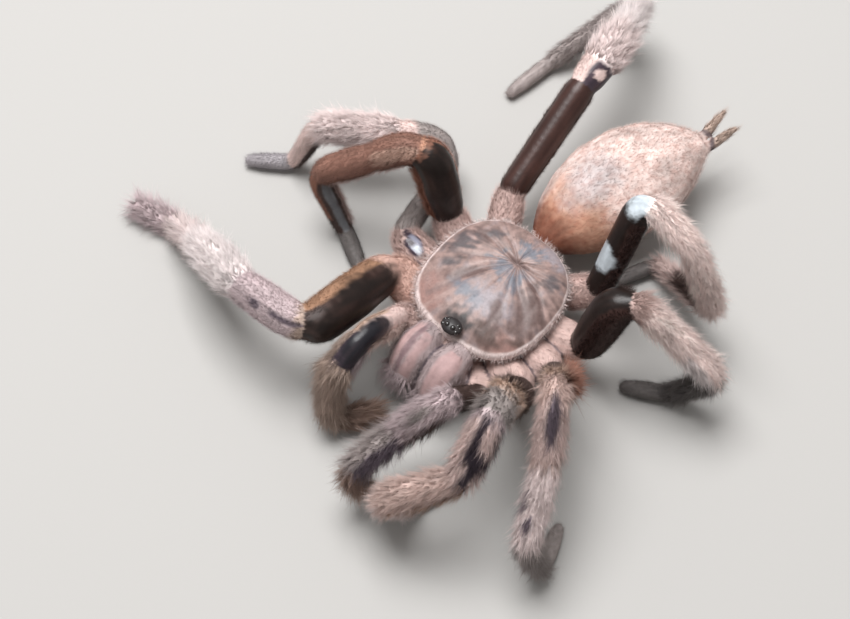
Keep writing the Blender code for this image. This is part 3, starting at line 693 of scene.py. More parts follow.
class Coat:
    """Colour, bareness, hair vector and hair density for every corner of the skin."""

    def __init__(self, places, survey):
        self.survey = survey
        count = len(places)
        self.tint = np.empty((count, 3))
        self.hair = np.empty((count, 4))
        self.bare = np.zeros(count)
        self.sway = wander(places, 900, 1)
        self.swing = wander(places, 700, 2)
        for number, name in enumerate(courses):
            on_form = survey.form == number
            for part, (kind, tint) in enumerate(zip(kinds_of(name), PART_TINTS[name].split())):
                here = on_form & (survey.part == part)
                self.tint[here] = TINTS[tint]
                self.hair[here] = HAIR_KINDS[kind]
                self.bare[here] = BARENESS.get(kind, 0.0)
        for name, rows in BANDS.items():
            for part, start, end, middle, half, tint, kind in rows:
                self.paint(name, part, self.band(name, start, end, middle, half), tint, kind)
        for name, rows in SPOTS.items():
            for part, share, half_share, middle, half, slant, tint, kind in rows:
                along = (survey.share - share) / half_share
                off = self.turned_off(middle, slant * (survey.share - share)) / half
                reach = np.hypot(along, off) + SPOT_SWAY * self.sway
                blur = SPOT_BLURS.get(name, 0.3)
                strength = FAINT_SPOTS if name == "abdomen" else 1.0
                self.paint(name, part, eased(1 + 0.4 * blur - reach, blur) * strength, tint, kind)
        self.tint[survey.on_core] = TINTS["cream"]
        self.hair[survey.on_core] = HAIR_KINDS["down"]
        self.bare[survey.on_core] = 0
        # Painted shade: the slit where the bases of two limbs meet is brought towards plum, and its hair is
        # thinned.
        rift = (1 - eased(survey.rift - RIFT_HALF_WIDTH, RIFT_HALF_WIDTH)) * (survey.part == 0)
        rift = rift * (1 - survey.on_core)
        blend(self.tint, TINTS["plum"], RIFT_PAINTED_SHADE * rift)
        self.hair[:, 2] *= 1 - RIFT_THINNING * rift
        self.shade(places)
        self.long_hair = self.hair[:, 3] > 0.5
        self.density = self.hair[:, 2]
        lift = np.radians(self.hair[:, 1])[:, None]
        way = survey.heading * np.cos(lift) + survey.spoke * np.sin(lift)
        way = unit(way) * self.hair[:, :1]
        way[:, 2] = np.maximum(way[:, 2], -FLOOR_DIVE * np.maximum(places[:, 2] - 0.1 * MM, 0))
        self.way = way

    def band(self, name, start, end, middle, half):
        """How much of a band each place has. A band that reaches a joint doesn't fade there."""
        blur = 3 if name == "abdomen" else 1
        share = self.survey.share + EDGE_SWAY[0] * self.sway
        soft = blur * SOFT_SHARE
        weight = eased(share - start + soft / 2, soft) if start > 0 else 1.0
        if end < 1:
            weight = weight * eased(end - share + soft / 2, soft)
        soft = min(blur * SOFT_ANGLE, half)
        return weight * eased(half - self.turned_off(middle, 0) + soft / 2, soft)

    def turned_off(self, middle, slant):
        """How many degrees each place lies off an angle, with the wander of a mark's edge."""
        off = np.degrees(self.survey.angle) - middle - slant
        return np.abs((off + 180) % 360 - 180) + EDGE_SWAY[1] * self.swing

    def paint(self, name, part, weight, tint, kind):
        """Lay a tint, and a kind of hair if one is given, over part of a form."""
        weight = weight * (self.survey.of(name) & (self.survey.part == part))
        blend(self.tint, TINTS[tint], weight)
        if kind:
            self.bare += (BARENESS.get(kind, 0.0) - self.bare) * weight
            blend(self.hair[:, :2], HAIR_KINDS[kind][:2], weight)
            self.hair[weight > 0.5, 2:] = HAIR_KINDS[kind][2:]

    def shade(self, places):
        """Streaks along the limbs and soft clouds, both darker and paler than the ground."""
        survey = self.survey
        drawn = np.stack([
            np.cos(survey.angle) * 2.6,
            np.sin(survey.angle) * 2.6,
            survey.along * 160 + survey.form * 5,
        ], axis=1)
        streaks = wander(drawn, 1.7, 4)
        clouds = wander(places, 420, 5)
        self.tint *= (1 + STREAK_DEPTH * streaks + CLOUD_DEPTH * clouds)[:, None]
        glint = self.bare * np.clip(streaks + 0.5 * clouds, 0, 1) * (self.tint.max(axis=1) < 0.06)
        self.tint += glint[:, None] * BALD_GLINT
        speckle = np.clip(wander(places, 1500, 6) * 2, -1, 0.6) * survey.of("abdomen")
        self.tint *= 1 + SPECKLE_DEPTH * speckle[:, None] * np.array((0.6, 1.0, 1.1))
        self.tint = np.clip(self.tint, 0, 0.95)


survey = Survey(corners_of(skin_mesh))
coat = Coat(corners_of(skin_mesh), survey)


# ---------------------------------------------------------------- the coat
# Hair grows from the skin in small tufts: long loose strands on the outer legs and palps, short
# velvet on the rest. Each tuft is a few tapered strands from one root, bent back by their weight.
TUFT_PATCH = 0.003               # width of a tuft's patch on the unwrap
COAT_TRIANGLES = {               # how many triangles the coat of each region may have
    "leg": 132000, "palp": 75000, "abdomen": 125000, "jaws": 60000,
}
TUFT_TRIANGLES = {True: 30, False: 12}     # of a long tuft and of a short one
AIM_SCATTER = 0.26               # how far tufts stray from their way, and from lying flat
TURN_SCATTER = 0.7
LENGTH_SCATTER = (0.6, 1.15)
STRAND_TAPER = 0.55              # how much thinner a strand is at its end
STRAND_SHORTER = 0.45            # how much shorter than the first a strand may be
FLOOR_CLEARANCE = 0.02 * MM
REGIONS = {name: [name] for name in LEG_NAMES + PALP_NAMES}
REGIONS["abdomen"] = ["abdomen", "spinneret_R", "spinneret_L"]
REGIONS["jaws"] = ["chelicera_R", "chelicera_L"]
SKIN_MOTTLE = (0.84, 1.22)       # range of brightness of the skin's grain
ROOT_SHADE_TO_TIP_LIGHT = (0.93, 1.27)       # brightness of a hair at its root and at its tip: painted shade deep in the coat, painted light at the tip
TUFT_SHADES = (0.90, 1.08)       # range of brightness from tuft to tuft
HAIRY_TO_BARE = (0.65, 0.16)     # roughness of skin under hair and of bare skin


def add_node(tree, kind, inputs, **settings):
    """A new node with its settings, whose inputs are linked or set."""
    made = tree.nodes.new(kind)
    for setting, value in settings.items():
        setattr(made, setting, value)
    return plug(made, inputs)


def set_attribute(mesh, name, kind, domain, values):
    """Store numbers on a mesh under a name."""
    made = mesh.attributes.new(name, kind, domain)
    field = {"FLOAT_VECTOR": "vector", "FLOAT_COLOR": "color"}.get(kind, "value")
    made.data.foreach_set(field, np.ascontiguousarray(values).ravel())


def tuft_object(name, strand_segments, width, spread, bend, seed):
    """A unit tuft that grows along Z and bends to X, with its place on its map patch."""
    rng = np.random.default_rng(seed)
    strands = len(strand_segments)
    corners, faces, along, patch = [], [], [], []
    for strand, segments in enumerate(strand_segments):
        turn = tau * (strand + rng.uniform(-0.3, 0.3)) / strands
        lean = spread * (0.35 + 0.65 * rng.random())
        reach = 1.0 - STRAND_SHORTER * rng.random() * (strand > 0)
        base = len(corners)
        for ring in range(segments + 1):
            share = ring / segments
            middle = Vector((
                lean * cos(turn) * share + bend * share * share,
                lean * sin(turn) * share,
                share * (1 - 0.25 * bend * share),
            )) * reach
            middle += Vector((cos(turn), sin(turn), 0)) * width * 2.5
            if ring == segments:
                corners.append(middle)
                along.append(1.0)
                patch.append((strand / strands - 0.5, 0.5, 0))
                break
            thick = width * (1 - STRAND_TAPER * share)
            for side in range(3):
                angle = tau * side / 3 + turn
                corners.append(middle + Vector((cos(angle), sin(angle), 0)) * thick)
                along.append(share)
                patch.append(((strand + side / 3) / strands - 0.5, share - 0.5, 0))
        faces.append((base + 2, base + 1, base))
        for ring in range(segments):
            for side in range(3):
                low, after = base + 3 * ring + side, base + 3 * ring + (side + 1) % 3
                if ring == segments - 1:
                    faces.append((low, after, base + 3 * segments))
                else:
                    faces.append((low, after, after + 3, low + 3))
    mesh = bpy.data.meshes.new(name)
    mesh.from_pydata(corners, [], faces)
    set_attribute(mesh, "along", "FLOAT", "POINT", np.array(along))
    set_attribute(mesh, "patch", "FLOAT_VECTOR", "POINT", np.array(patch))
    return linked(name, mesh)


class Tree:
    """A Geometry Nodes tree under construction."""

    def __init__(self, name, inputs):
        self.tree = bpy.data.node_groups.new(name, "GeometryNodeTree")
        self.tree.interface.new_socket("Geometry", in_out="OUTPUT", socket_type="NodeSocketGeometry")
        self.identifiers = {}
        for socket, kind in inputs:
            made = self.tree.interface.new_socket(socket, in_out="INPUT", socket_type=kind)
            self.identifiers[socket] = made.identifier
        self.inputs = self.tree.nodes.new("NodeGroupInput").outputs
        self.output = self.tree.nodes.new("NodeGroupOutput")

    def node(self, kind, inputs, output=0, **settings):
        """An output of a new node, whose inputs are linked or set."""
        return add_node(self.tree, kind, inputs, **settings).outputs[output]

    def read(self, name, kind):
        """A named attribute's value."""
        return self.node("GeometryNodeInputNamedAttribute", {"Name": name}, "Attribute", data_type=kind)

    def math(self, operation, first, second):
        return self.node("ShaderNodeMath", {0: first, 1: second}, operation=operation)

    def vector(self, operation, first, second=(0, 0, 0)):
        output = "Value" if operation == "LENGTH" else "Vector"
        return self.node("ShaderNodeVectorMath", {0: first, 1: second}, output, operation=operation)

    def scaled(self, vector, factor):
        inputs = {0: vector, "Scale": factor}
        return self.node("ShaderNodeVectorMath", inputs, "Vector", operation="SCALE")

    def random(self, low, high, seed):
        """A random number for each point."""
        inputs = {2: low, 3: high, "Seed": seed}
        return self.node("FunctionNodeRandomValue", inputs, 1, data_type="FLOAT")

    def random_vector(self, reach, seed):
        inputs = {0: (-reach,) * 3, 1: (reach,) * 3, "Seed": seed}
        return self.node("FunctionNodeRandomValue", inputs, data_type="FLOAT_VECTOR")

    def store(self, geometry, name, kind, domain, value):
        inputs = {"Geometry": geometry, "Name": name, "Value": value}
        return self.node("GeometryNodeStoreNamedAttribute", inputs, data_type=kind, domain=domain)


def coat_tree():
    """The tree that grows one region's tufts on the skin."""
    tree = Tree("coat", (
        ("Skin", "NodeSocketGeometry"),
        ("Region", "NodeSocketInt"),
        ("Density", "NodeSocketFloat"),
        ("Seed", "NodeSocketInt"),
        ("Long tuft", "NodeSocketObject"),
        ("Short tuft", "NodeSocketObject"),
        ("Finish", "NodeSocketMaterial"),
    ))
    asked = tree.inputs
    region = tree.node("FunctionNodeCompare", {2: tree.read("region", "INT"), 3: asked["Region"]},
                       data_type="INT", operation="EQUAL")
    density = tree.math("MULTIPLY", tree.read("density", "FLOAT"), asked["Density"])
    roots = add_node(tree.tree, "GeometryNodeDistributePointsOnFaces", {
        "Mesh": asked["Skin"], "Selection": region, "Density": density, "Seed": asked["Seed"]})
    shade = tree.random(0.0, 1.0, 11)
    points = tree.store(roots.outputs["Points"], "shade", "FLOAT", "POINT", shade)
    way = tree.read("way", "FLOAT_VECTOR")
    aim = tree.vector("ADD", tree.vector("NORMALIZE", way), tree.random_vector(AIM_SCATTER, 12))
    upright = tree.node("FunctionNodeAlignRotationToVector", {"Vector": aim}, axis="Z")
    down = tree.scaled(roots.outputs["Normal"], -1.0)
    down = tree.vector("ADD", down, tree.random_vector(TURN_SCATTER, 13))
    turned = tree.node("FunctionNodeAlignRotationToVector", {"Rotation": upright, "Vector": down},
                       axis="X", pivot_axis="Z")
    scale = tree.math("MULTIPLY", tree.vector("LENGTH", way), tree.random(*LENGTH_SCATTER, 14))
    long_hair = tree.read("long_hair", "BOOLEAN")
    short_hair = tree.node("FunctionNodeBooleanMath", {0: long_hair}, operation="NOT")
    joined = add_node(tree.tree, "GeometryNodeJoinGeometry", {})
    for which, tuft in ((short_hair, "Short tuft"), (long_hair, "Long tuft")):
        inputs = {"Object": asked[tuft], "As Instance": True}
        shape = tree.node("GeometryNodeObjectInfo", inputs, "Geometry")
        placed = tree.node("GeometryNodeInstanceOnPoints", {
            "Points": points, "Selection": which, "Instance": shape, "Rotation": turned, "Scale": scale})
        plug(joined, {0: placed})
    real = tree.node("GeometryNodeRealizeInstances", {0: joined.outputs[0]})
    spot = tree.node("GeometryNodeInputPosition", {})
    place = add_node(tree.tree, "ShaderNodeSeparateXYZ", {0: spot}).outputs
    height = tree.math("MAXIMUM", place[2], FLOOR_CLEARANCE)
    place = tree.node("ShaderNodeCombineXYZ", {0: place[0], 1: place[1], 2: height})
    real = tree.node("GeometryNodeSetPosition", {"Geometry": real, "Position": place})
    patch = tree.scaled(tree.read("patch", "FLOAT_VECTOR"), TUFT_PATCH)
    spot = tree.vector("ADD", tree.read("root_place", "FLOAT_VECTOR"), patch)
    mapped = tree.store(real, "OFBake", "FLOAT2", "CORNER", spot)
    inputs = {"Geometry": mapped, "Material": asked["Finish"]}
    plug(tree.output, {0: tree.node("GeometryNodeSetMaterial", inputs)})
    return tree


def unwrapped(mesh, survey):
    """Each face corner's place on the unwrap: one strip for each form, along and round it."""
    owner = np.empty(len(mesh.loops), int)
    mesh.loops.foreach_get("vertex_index", owner)
    turn = (survey.angle / tau + 0.5)[owner].reshape(-1, 4)
    over_seam = (turn.max(axis=1) - turn.min(axis=1) > 0.5)[:, None] & (turn < 0.5)
    turn = np.where(over_seam, turn + 1, turn).ravel()
    across = survey.form[owner] / UNWRAP_STRIPS + UNWRAP_WIDTH * turn
    along = survey.along[owner] / UNWRAP_LENGTH
    return np.stack([across, along, np.zeros(len(owner))], axis=1)


def with_alpha(tint):
    """Colours with an opaque fourth channel."""
    return np.concatenate([tint, np.ones((len(tint), 1))], axis=1)


def prepare(mesh, region, density, way, long_hair, tint, root_place):
    """Store on a mesh what the coat's tree reads there. Density is in tufts per square mm."""
    set_attribute(mesh, "region", "INT", "POINT", region.astype(np.int32))
    set_attribute(mesh, "density", "FLOAT", "POINT", density * 1e6)
    set_attribute(mesh, "way", "FLOAT_VECTOR", "POINT", way)
    set_attribute(mesh, "long_hair", "BOOLEAN", "POINT", long_hair)
    set_attribute(mesh, "root_place", "FLOAT_VECTOR", "CORNER", root_place)
    set_attribute(mesh, "tint", "FLOAT_COLOR", "POINT", with_alpha(tint))


region = np.zeros(len(skin_mesh.vertices), np.int32)
for number, forms in enumerate(REGIONS.values()):
    for name in forms:
        region[survey.form == survey.names.index(name)] = number
region[survey.on_core] = list(REGIONS).index("jaws")
root_place = unwrapped(skin_mesh, survey)
prepare(skin_mesh, region, coat.density, coat.way, coat.long_hair, coat.tint, root_place)
set_attribute(skin_mesh, "bare", "FLOAT", "POINT", coat.bare)


def attribute(tree, name, output):
    """An attribute of the mesh, as a colour or as a number."""
    return add_node(tree, "ShaderNodeAttribute", {}, attribute_name=name).outputs[output]


def ranged(tree, value, low, high):
    """A number from 0 to 1 brought into another range."""
    inputs = {"Value": value, "To Min": low, "To Max": high}
    return add_node(tree, "ShaderNodeMapRange", inputs).outputs["Result"]


def product(tree, colour, factor):
    """A colour times a number."""
    inputs = {0: colour, 1: factor}
    return add_node(tree, "ShaderNodeVectorMath", inputs, operation="MULTIPLY").outputs["Vector"]


def grain(tree, scale, detail):
    """Fine noise fixed to the object's own coordinates."""
    where = add_node(tree, "ShaderNodeTexCoord", {}).outputs["Object"]
    inputs = {"Vector": where, "Scale": scale, "Detail": detail}
    return add_node(tree, "ShaderNodeTexNoise", inputs).outputs["Fac"]


def relief(tree, height, strength, distance):
    """The normals of small relief."""
    inputs = {"Height": height, "Strength": strength, "Distance": distance}
    return add_node(tree, "ShaderNodeBump", inputs).outputs["Normal"]


def skin_finish():
    """Leathery skin in its own colour, finely mottled and wrinkled, glossy where it is bare."""
    made, tree, shader = new_material("skin", {"Specular IOR Level": 0.28})
    spots = grain(tree, 1800, 4)
    tint = attribute(tree, "tint", "Color")
    plug(shader, {
        "Base Color": product(tree, tint, ranged(tree, spots, *SKIN_MOTTLE)),
        "Roughness": ranged(tree, attribute(tree, "bare", "Fac"), *HAIRY_TO_BARE),
        "Normal": relief(tree, spots, 0.4, 0.05 * MM),
    })
    return made


def hair_finish():
    """Hair: the colour of its root's place, darker at the root as painted shade and paler to the tip as
    painted light, each tuft a tone of its own.
    """
    made, tree, shader = new_material("hair", {
        "Roughness": 0.55, "Specular IOR Level": 0.3, "Sheen Weight": 0.35, "Sheen Roughness": 0.4})
    # Painted shade at the hair's root and painted light at its tip.
    tip = ranged(tree, attribute(tree, "along", "Fac"), *ROOT_SHADE_TO_TIP_LIGHT)
    own = ranged(tree, attribute(tree, "shade", "Fac"), *TUFT_SHADES)
    colour = product(tree, attribute(tree, "tint", "Color"), tip)
    plug(shader, {"Base Color": product(tree, colour, own), "Sheen Tint": colour})
    return made


skin = new_piece("skin", skin_mesh, skin_finish())
hair = hair_finish()
tufts = {
    "Long tuft": tuft_object("long_tuft", (2, 1, 1, 1, 1, 1), width=0.0085, spread=0.24, bend=0.22, seed=3),
    "Short tuft": tuft_object("short_tuft", (1, 1, 1), width=0.015, spread=0.42, bend=0.16, seed=5),
}
growth = coat_tree()


def wanted_triangles(mesh, number):
    """How many triangles a region's coat would have at its full density."""
    mesh.calc_loop_triangles()
    count = len(mesh.loop_triangles)
    corners = np.empty(count * 3, np.int32)
    mesh.loop_triangles.foreach_get("vertices", corners)
    corners = corners.reshape(-1, 3)
    place, second, third = corners_of(mesh)[corners].astype(float).swapaxes(0, 1)
    area = np.linalg.norm(np.cross(second - place, third - place), axis=1) / 2
    values = {}
    for name, kind in (("region", np.int32), ("density", np.float32), ("long_hair", bool)):
        values[name] = np.empty(len(mesh.vertices), kind)
        mesh.attributes[name].data.foreach_get("value", values[name])
    first = corners[:, 0]
    each = np.where(values["long_hair"][first], TUFT_TRIANGLES[True], TUFT_TRIANGLES[False])
    return (area * values["density"][first] * each * (values["region"][first] == number)).sum()


def grow_coat(host, name, number, most):
    """One region's coat as a plain mesh, as dense as its share of triangles allows."""
    density = most / wanted_triangles(host.data, number)
    modifier = host.modifiers.new("coat", "NODES")
    modifier.node_group = growth.tree
    values = {"Region": number, "Density": density, "Seed": number, "Finish": hair, **tufts}
    for socket, value in values.items():
        modifier[growth.identifiers[socket]] = value
    mesh = applied(host)
    host.modifiers.remove(modifier)
    mesh.shade_smooth()
    strip(mesh, ("region", "density", "way", "long_hair", "root_place", "patch", "bare"))
    piece = new_piece(f"coat_{name}", mesh, hair)
    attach(piece, "root")


def strip(mesh, names):
    """Remove attributes that only the coat's tree needed."""
    for unused in names:
        if unused in mesh.attributes:
            mesh.attributes.remove(mesh.attributes[unused])


for number, name in enumerate(REGIONS):
    most = COAT_TRIANGLES[name.split("_")[0]]
    grow_coat(skin, name, number, most)
strip(skin_mesh, ("region", "density", "way", "long_hair", "root_place"))
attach(skin, "root")
plates = ("carapace", "eye_mound", "fang_R", "fang_L")
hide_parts(*[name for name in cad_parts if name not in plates])


# ---------------------------------------------------------------- the carapace
# The shield over the front body: a thin domed shell under flat felt, with a raised head part, a
# crosswise pit, and grooves that run from the pit to the edge. Pale hair fringes it.
HEAD_TURN = radians(5)
SHIELD_SPOKES = 220
SHIELD_RINGS = 80
SHIELD_DOME = 2.5 * MM
SHIELD_RIM = 0.5 * MM
HEAD_RISE = 0.9 * MM
SHIELD_FRONT = -10.1 * MM        # Y of the front edge, from the middle of the front body
PIT = (0.9 * MM, 3.7 * MM)
GROOVES = (                      # bearing from the pit, half width, depth, tint's strength
    (-128, 4.5, 0.34 * MM, 0.8), (-52, 4.5, 0.34 * MM, 0.8), (-158, 3.4, 0.22 * MM, 0.7),
    (-26, 3.2, 0.24 * MM, 0.6), (178, 3.0, 0.20 * MM, 0.5), (4, 3.0, 0.20 * MM, 0.4),
    (148, 3.4, 0.20 * MM, 0.4), (34, 3.2, 0.20 * MM, 0.5), (90, 3.6, 0.16 * MM, 0.3),
    (-100, 2.2, 0.10 * MM, 0.5), (-76, 2.0, 0.10 * MM, 0.4),
)
FELT_TINTS = {
    "ground": (0.25, 0.17, 0.153), "rosy": (0.26, 0.145, 0.125), "worn": (0.14, 0.15, 0.18),
    "soot": (0.085, 0.07, 0.075), "bark": (0.085, 0.05, 0.042), "loam": (0.115, 0.072, 0.066),
    "night": (0.012, 0.009, 0.01), "milk": (0.28, 0.245, 0.265), "rim": (0.68, 0.57, 0.55),
    "groove": (0.14, 0.095, 0.09),
}
PATCHES = (                      # x, y and half sizes in mm, turn in degrees, tint
    (1.6, -3.6, 3.4, 2.6, 0, "milk"), (-6.2, -7.6, 3.0, 3.0, 0, "rosy"),
    (7.0, -7.4, 3.2, 2.6, 0, "rosy"), (4.5, 8.0, 2.5, 1.5, 0, "milk"),
    (-5.6, 4.4, 2.6, 1.3, 40, "loam"), (-3.2, -1.6, 2.6, 0.8, 50, "loam"),
    (5.2, 1.6, 2.2, 1.0, -40, "loam"), (3.6, -4.6, 2.8, 0.9, -60, "loam"),
    (6.6, -4.4, 1.6, 0.8, 20, "loam"), (-0.5, 1.9, 2.1, 1.3, -20, "worn"),
    (2.5, 1.0, 0.9, 1.9, 0, "worn"), (1.2, 6.0, 1.7, 1.3, 30, "worn"),
    (-1.6, -4.1, 2.1, 1.1, 0, "worn"), (-7.2, 1.8, 2.2, 1.5, 60, "soot"),
    (-6.4, -1.9, 1.2, 0.7, 30, "soot"), (6.1, 4.6, 1.3, 1.2, 0, "soot"),
    (6.8, -0.8, 3.2, 2.2, -60, "loam"), (4.6, -7.7, 2.1, 1.4, 20, "bark"),
    (2.9, -6.6, 1.2, 1.0, 0, "bark"), (8.0, -5.2, 1.3, 0.5, 30, "bark"),
    (-4.2, 5.6, 1.2, 0.7, 30, "soot"), (0.0, -8.1, 2.3, 1.8, 0, "night"),
)
FELT_LENGTH = 0.30 * MM
FRINGE_LENGTH = 1.15 * MM
FRINGE_RINGS = 4                 # outer rings of the shield that carry the fringe
FELT_TRIANGLES = 60000
FRINGE_TRIANGLES = 30000
SLIT_HALF_SIZE = (1.5 * MM, 0.38 * MM)     # of the pit
SLIT_DEPTH = 0.55 * MM
LIP_HEIGHT = 0.10 * MM           # of the raised edge
LUMP_HEIGHT = 0.05 * MM
MOTTLING = (0.22, 0.30, 0.28, 0.36)        # depth of broad, middle, fine and ray-like mottling
PATCH_RAGGEDNESS = (0.62, 0.38, 0.5)       # of the patches' edges, by the last three of them
UNDERSIDE_RINGS = ((0.0, 0.55), (0.012, 1.0), (0.10, 1.0), (0.5, 1.0))     # inset and drop


def body_place(x, y):
    """A place of the straight front body, in metres, as the turned body has it."""
    return shield_middle + np.stack([
        x * cos(HEAD_TURN) - y * sin(HEAD_TURN),
        x * sin(HEAD_TURN) + y * cos(HEAD_TURN),
    ], axis=-1)


def find_shield():
    """The middle of the front body, the shield's outline and the height of its underside."""
    shape = welded("carapace")
    corners = np.array([corner.co for corner in shape.verts])
    tree = BVHTree.FromBMesh(shape)
    shape.free()
    turn = np.array([[cos(HEAD_TURN), sin(HEAD_TURN)], [-sin(HEAD_TURN), cos(HEAD_TURN)]])
    flat = corners[:, :2] @ turn.T
    middle_x = (flat[:, 0].min() + flat[:, 0].max()) / 2
    middle = np.array([middle_x, flat[:, 1].min() - SHIELD_FRONT]) @ turn
    return middle, tree, corners[:, 2].min()


shield_middle, shield_tree, shield_under = find_shield()


def shield_edge():
    """How far the outline lies from the pit, for each spoke."""
    pit = body_place(*np.array(PIT))
    height = shield_under + SHIELD_RIM / 2
    reach = []
    for turn in np.arange(SHIELD_SPOKES) / SHIELD_SPOKES * tau + HEAD_TURN:
        out = Vector((cos(turn), sin(turn), 0))
        start = Vector((*pit, height)) + out * 30 * MM
        reach.append((shield_tree.ray_cast(start, -out)[0] - Vector((*pit, height))).length)
    reach = np.array(reach)
    for _ in range(20):
        reach = (np.roll(reach, 1) + np.roll(reach, -1) + 2 * reach) / 4
    return reach + 0.05 * MM


def shield_surface():
    """Places and colours of the shell's upper side, ring by ring out from the pit."""
    turn = np.arange(SHIELD_SPOKES) / SHIELD_SPOKES * tau
    share = (np.arange(1, SHIELD_RINGS + 1) / SHIELD_RINGS)[:, None] ** 0.9
    reach = shield_edge()[None, :] * share
    x = PIT[0] + reach * np.cos(turn)
    y = PIT[1] + reach * np.sin(turn)
    dome = SHIELD_DOME * np.sqrt(np.clip(1 - share**2.6, 0, 1)) + 0 * x
    forward = np.clip((PIT[1] - y) / (8 * MM), 0, 1)
    head = HEAD_RISE * forward * np.clip(1 - (x / (6.5 * MM)) ** 2, 0, 1) * (1 - share**4)
    height = shield_under + SHIELD_RIM + dome + head
    groove = np.zeros_like(x)
    for bearing, half, depth, strength in GROOVES:
        bend = 6 * np.sin(share * 5 + bearing)
        off = (np.degrees(turn)[None, :] - bearing - bend + 180) % 360 - 180
        width = half * (0.55 + 0.55 / (share + 0.12))
        line = np.exp(-((off / width) ** 2)) * np.sin(pi * np.clip(share, 0, 1) ** 0.55)
        height -= depth * line
        groove = np.maximum(groove, strength * np.exp(-((off / (0.45 * width)) ** 2)) * (share < 0.9))
    across, along = (x - PIT[0]) / SLIT_HALF_SIZE[0], (y - PIT[1]) / SLIT_HALF_SIZE[1]
    slit = np.exp(-(across**2) - along**2)
    height -= SLIT_DEPTH * slit
    groove = np.maximum(groove, np.clip(slit * 1.6, 0, 1))
    lip = np.exp(-(((share - 0.975) / 0.02) ** 2))
    height += LIP_HEIGHT * lip
    places = np.stack([x, y, height], axis=-1)
    lumps = wander(places.reshape(-1, 3), 900, 21).reshape(x.shape)
    height += LUMP_HEIGHT * lumps * (share < 0.95)
    return x, y, height, turn, share, groove


def felt_colour(x, y, turn, share, groove):
    """The mottled colour of the felt: tan ground, rubbed grey patches, dark grooves, pale rim."""
    flat = np.stack([x, y, 0 * x], axis=-1).reshape(-1, 3)
    broad = wander(flat, 330, 31).reshape(x.shape)
    fine = wander(flat, 1500, 32).reshape(x.shape)
    middle = wander(flat, 750, 33).reshape(x.shape)
    rays = np.stack([np.cos(turn) * 9 + 0 * x, np.sin(turn) * 9 + 0 * x, share * 1.6 + 0 * x], axis=-1)
    rays = wander(rays.reshape(-1, 3), 1.6, 34).reshape(x.shape)
    colour = np.empty((*x.shape, 3))
    colour[:] = FELT_TINTS["ground"]
    mottling = sum(depth * cloud for depth, cloud in zip(MOTTLING, (broad, middle, fine, rays)))
    colour *= (1 + mottling)[..., None]
    worn = np.clip(middle * 1.5 - 0.35, 0, 1) * 0.55
    blend(colour, FELT_TINTS["worn"], worn)
    for at_x, at_y, half_x, half_y, tilt, tint in PATCHES:
        along = (x - at_x * MM) * cos(radians(tilt)) + (y - at_y * MM) * sin(radians(tilt))
        across = (y - at_y * MM) * cos(radians(tilt)) - (x - at_x * MM) * sin(radians(tilt))
        off = np.hypot(along / (half_x * MM), across / (half_y * MM))
        off += sum(depth * cloud for depth, cloud in zip(PATCH_RAGGEDNESS, (middle, fine, rays)))
        blend(colour, FELT_TINTS[tint], eased(1.5 - off, 1.1) * 0.92)
    dark = groove * (0.75 + 0.5 * fine)
    blend(colour, FELT_TINTS["groove"], np.clip(dark, 0, 0.9))
    rim = eased(share + 0.012 * middle - 0.945, 0.035) + 0 * x
    blend(colour, FELT_TINTS["rim"], rim)
    return np.clip(colour, 0.01, 0.9)


def make_shield():
    """The closed shell, coloured corner by corner, with what its fringe and felt need."""
    x, y, height, turn, share, groove = shield_surface()
    colour = felt_colour(x, y, turn, share, groove)
    flat = body_place(x, y)
    rings = np.concatenate([flat, height[..., None]], axis=-1)
    edge = rings[-1]
    under = []
    middle = edge.mean(axis=0)
    for inset, drop in UNDERSIDE_RINGS:
        ring = edge + (middle - edge) * inset
        ring[:, 2] = edge[:, 2] + (shield_under - edge[:, 2]) * drop
        under.append(ring)
    pit_height = height[0].mean() - 0.1 * MM
    ends = np.array([[*body_place(*np.array(PIT)), pit_height], [middle[0], middle[1], shield_under]])
    corners = np.concatenate([rings.reshape(-1, 3), *under, ends])
    total = SHIELD_RINGS + len(under)
    faces = []
    for side in range(SHIELD_SPOKES):
        after = (side + 1) % SHIELD_SPOKES
        faces.append((side, after, total * SHIELD_SPOKES))
        last = (total - 1) * SHIELD_SPOKES
        faces.append((last + after, last + side, total * SHIELD_SPOKES + 1))
        for ring in range(total - 1):
            near, far = ring * SHIELD_SPOKES, (ring + 1) * SHIELD_SPOKES
            faces.append((near + side, far + side, far + after, near + after))
    shape = add_faces(bmesh.new(), corners, faces)
    bmesh.ops.recalc_face_normals(shape, faces=shape.faces)
    mesh = new_mesh("carapace_shell", shape)
    rim = np.tile(colour[-1], (len(under), 1))
    tint = np.concatenate([colour.reshape(-1, 3), rim, colour[0].mean(axis=0)[None], rim[:1]])
    set_coat_of_shield(mesh, corners, tint, turn, total)
    return mesh


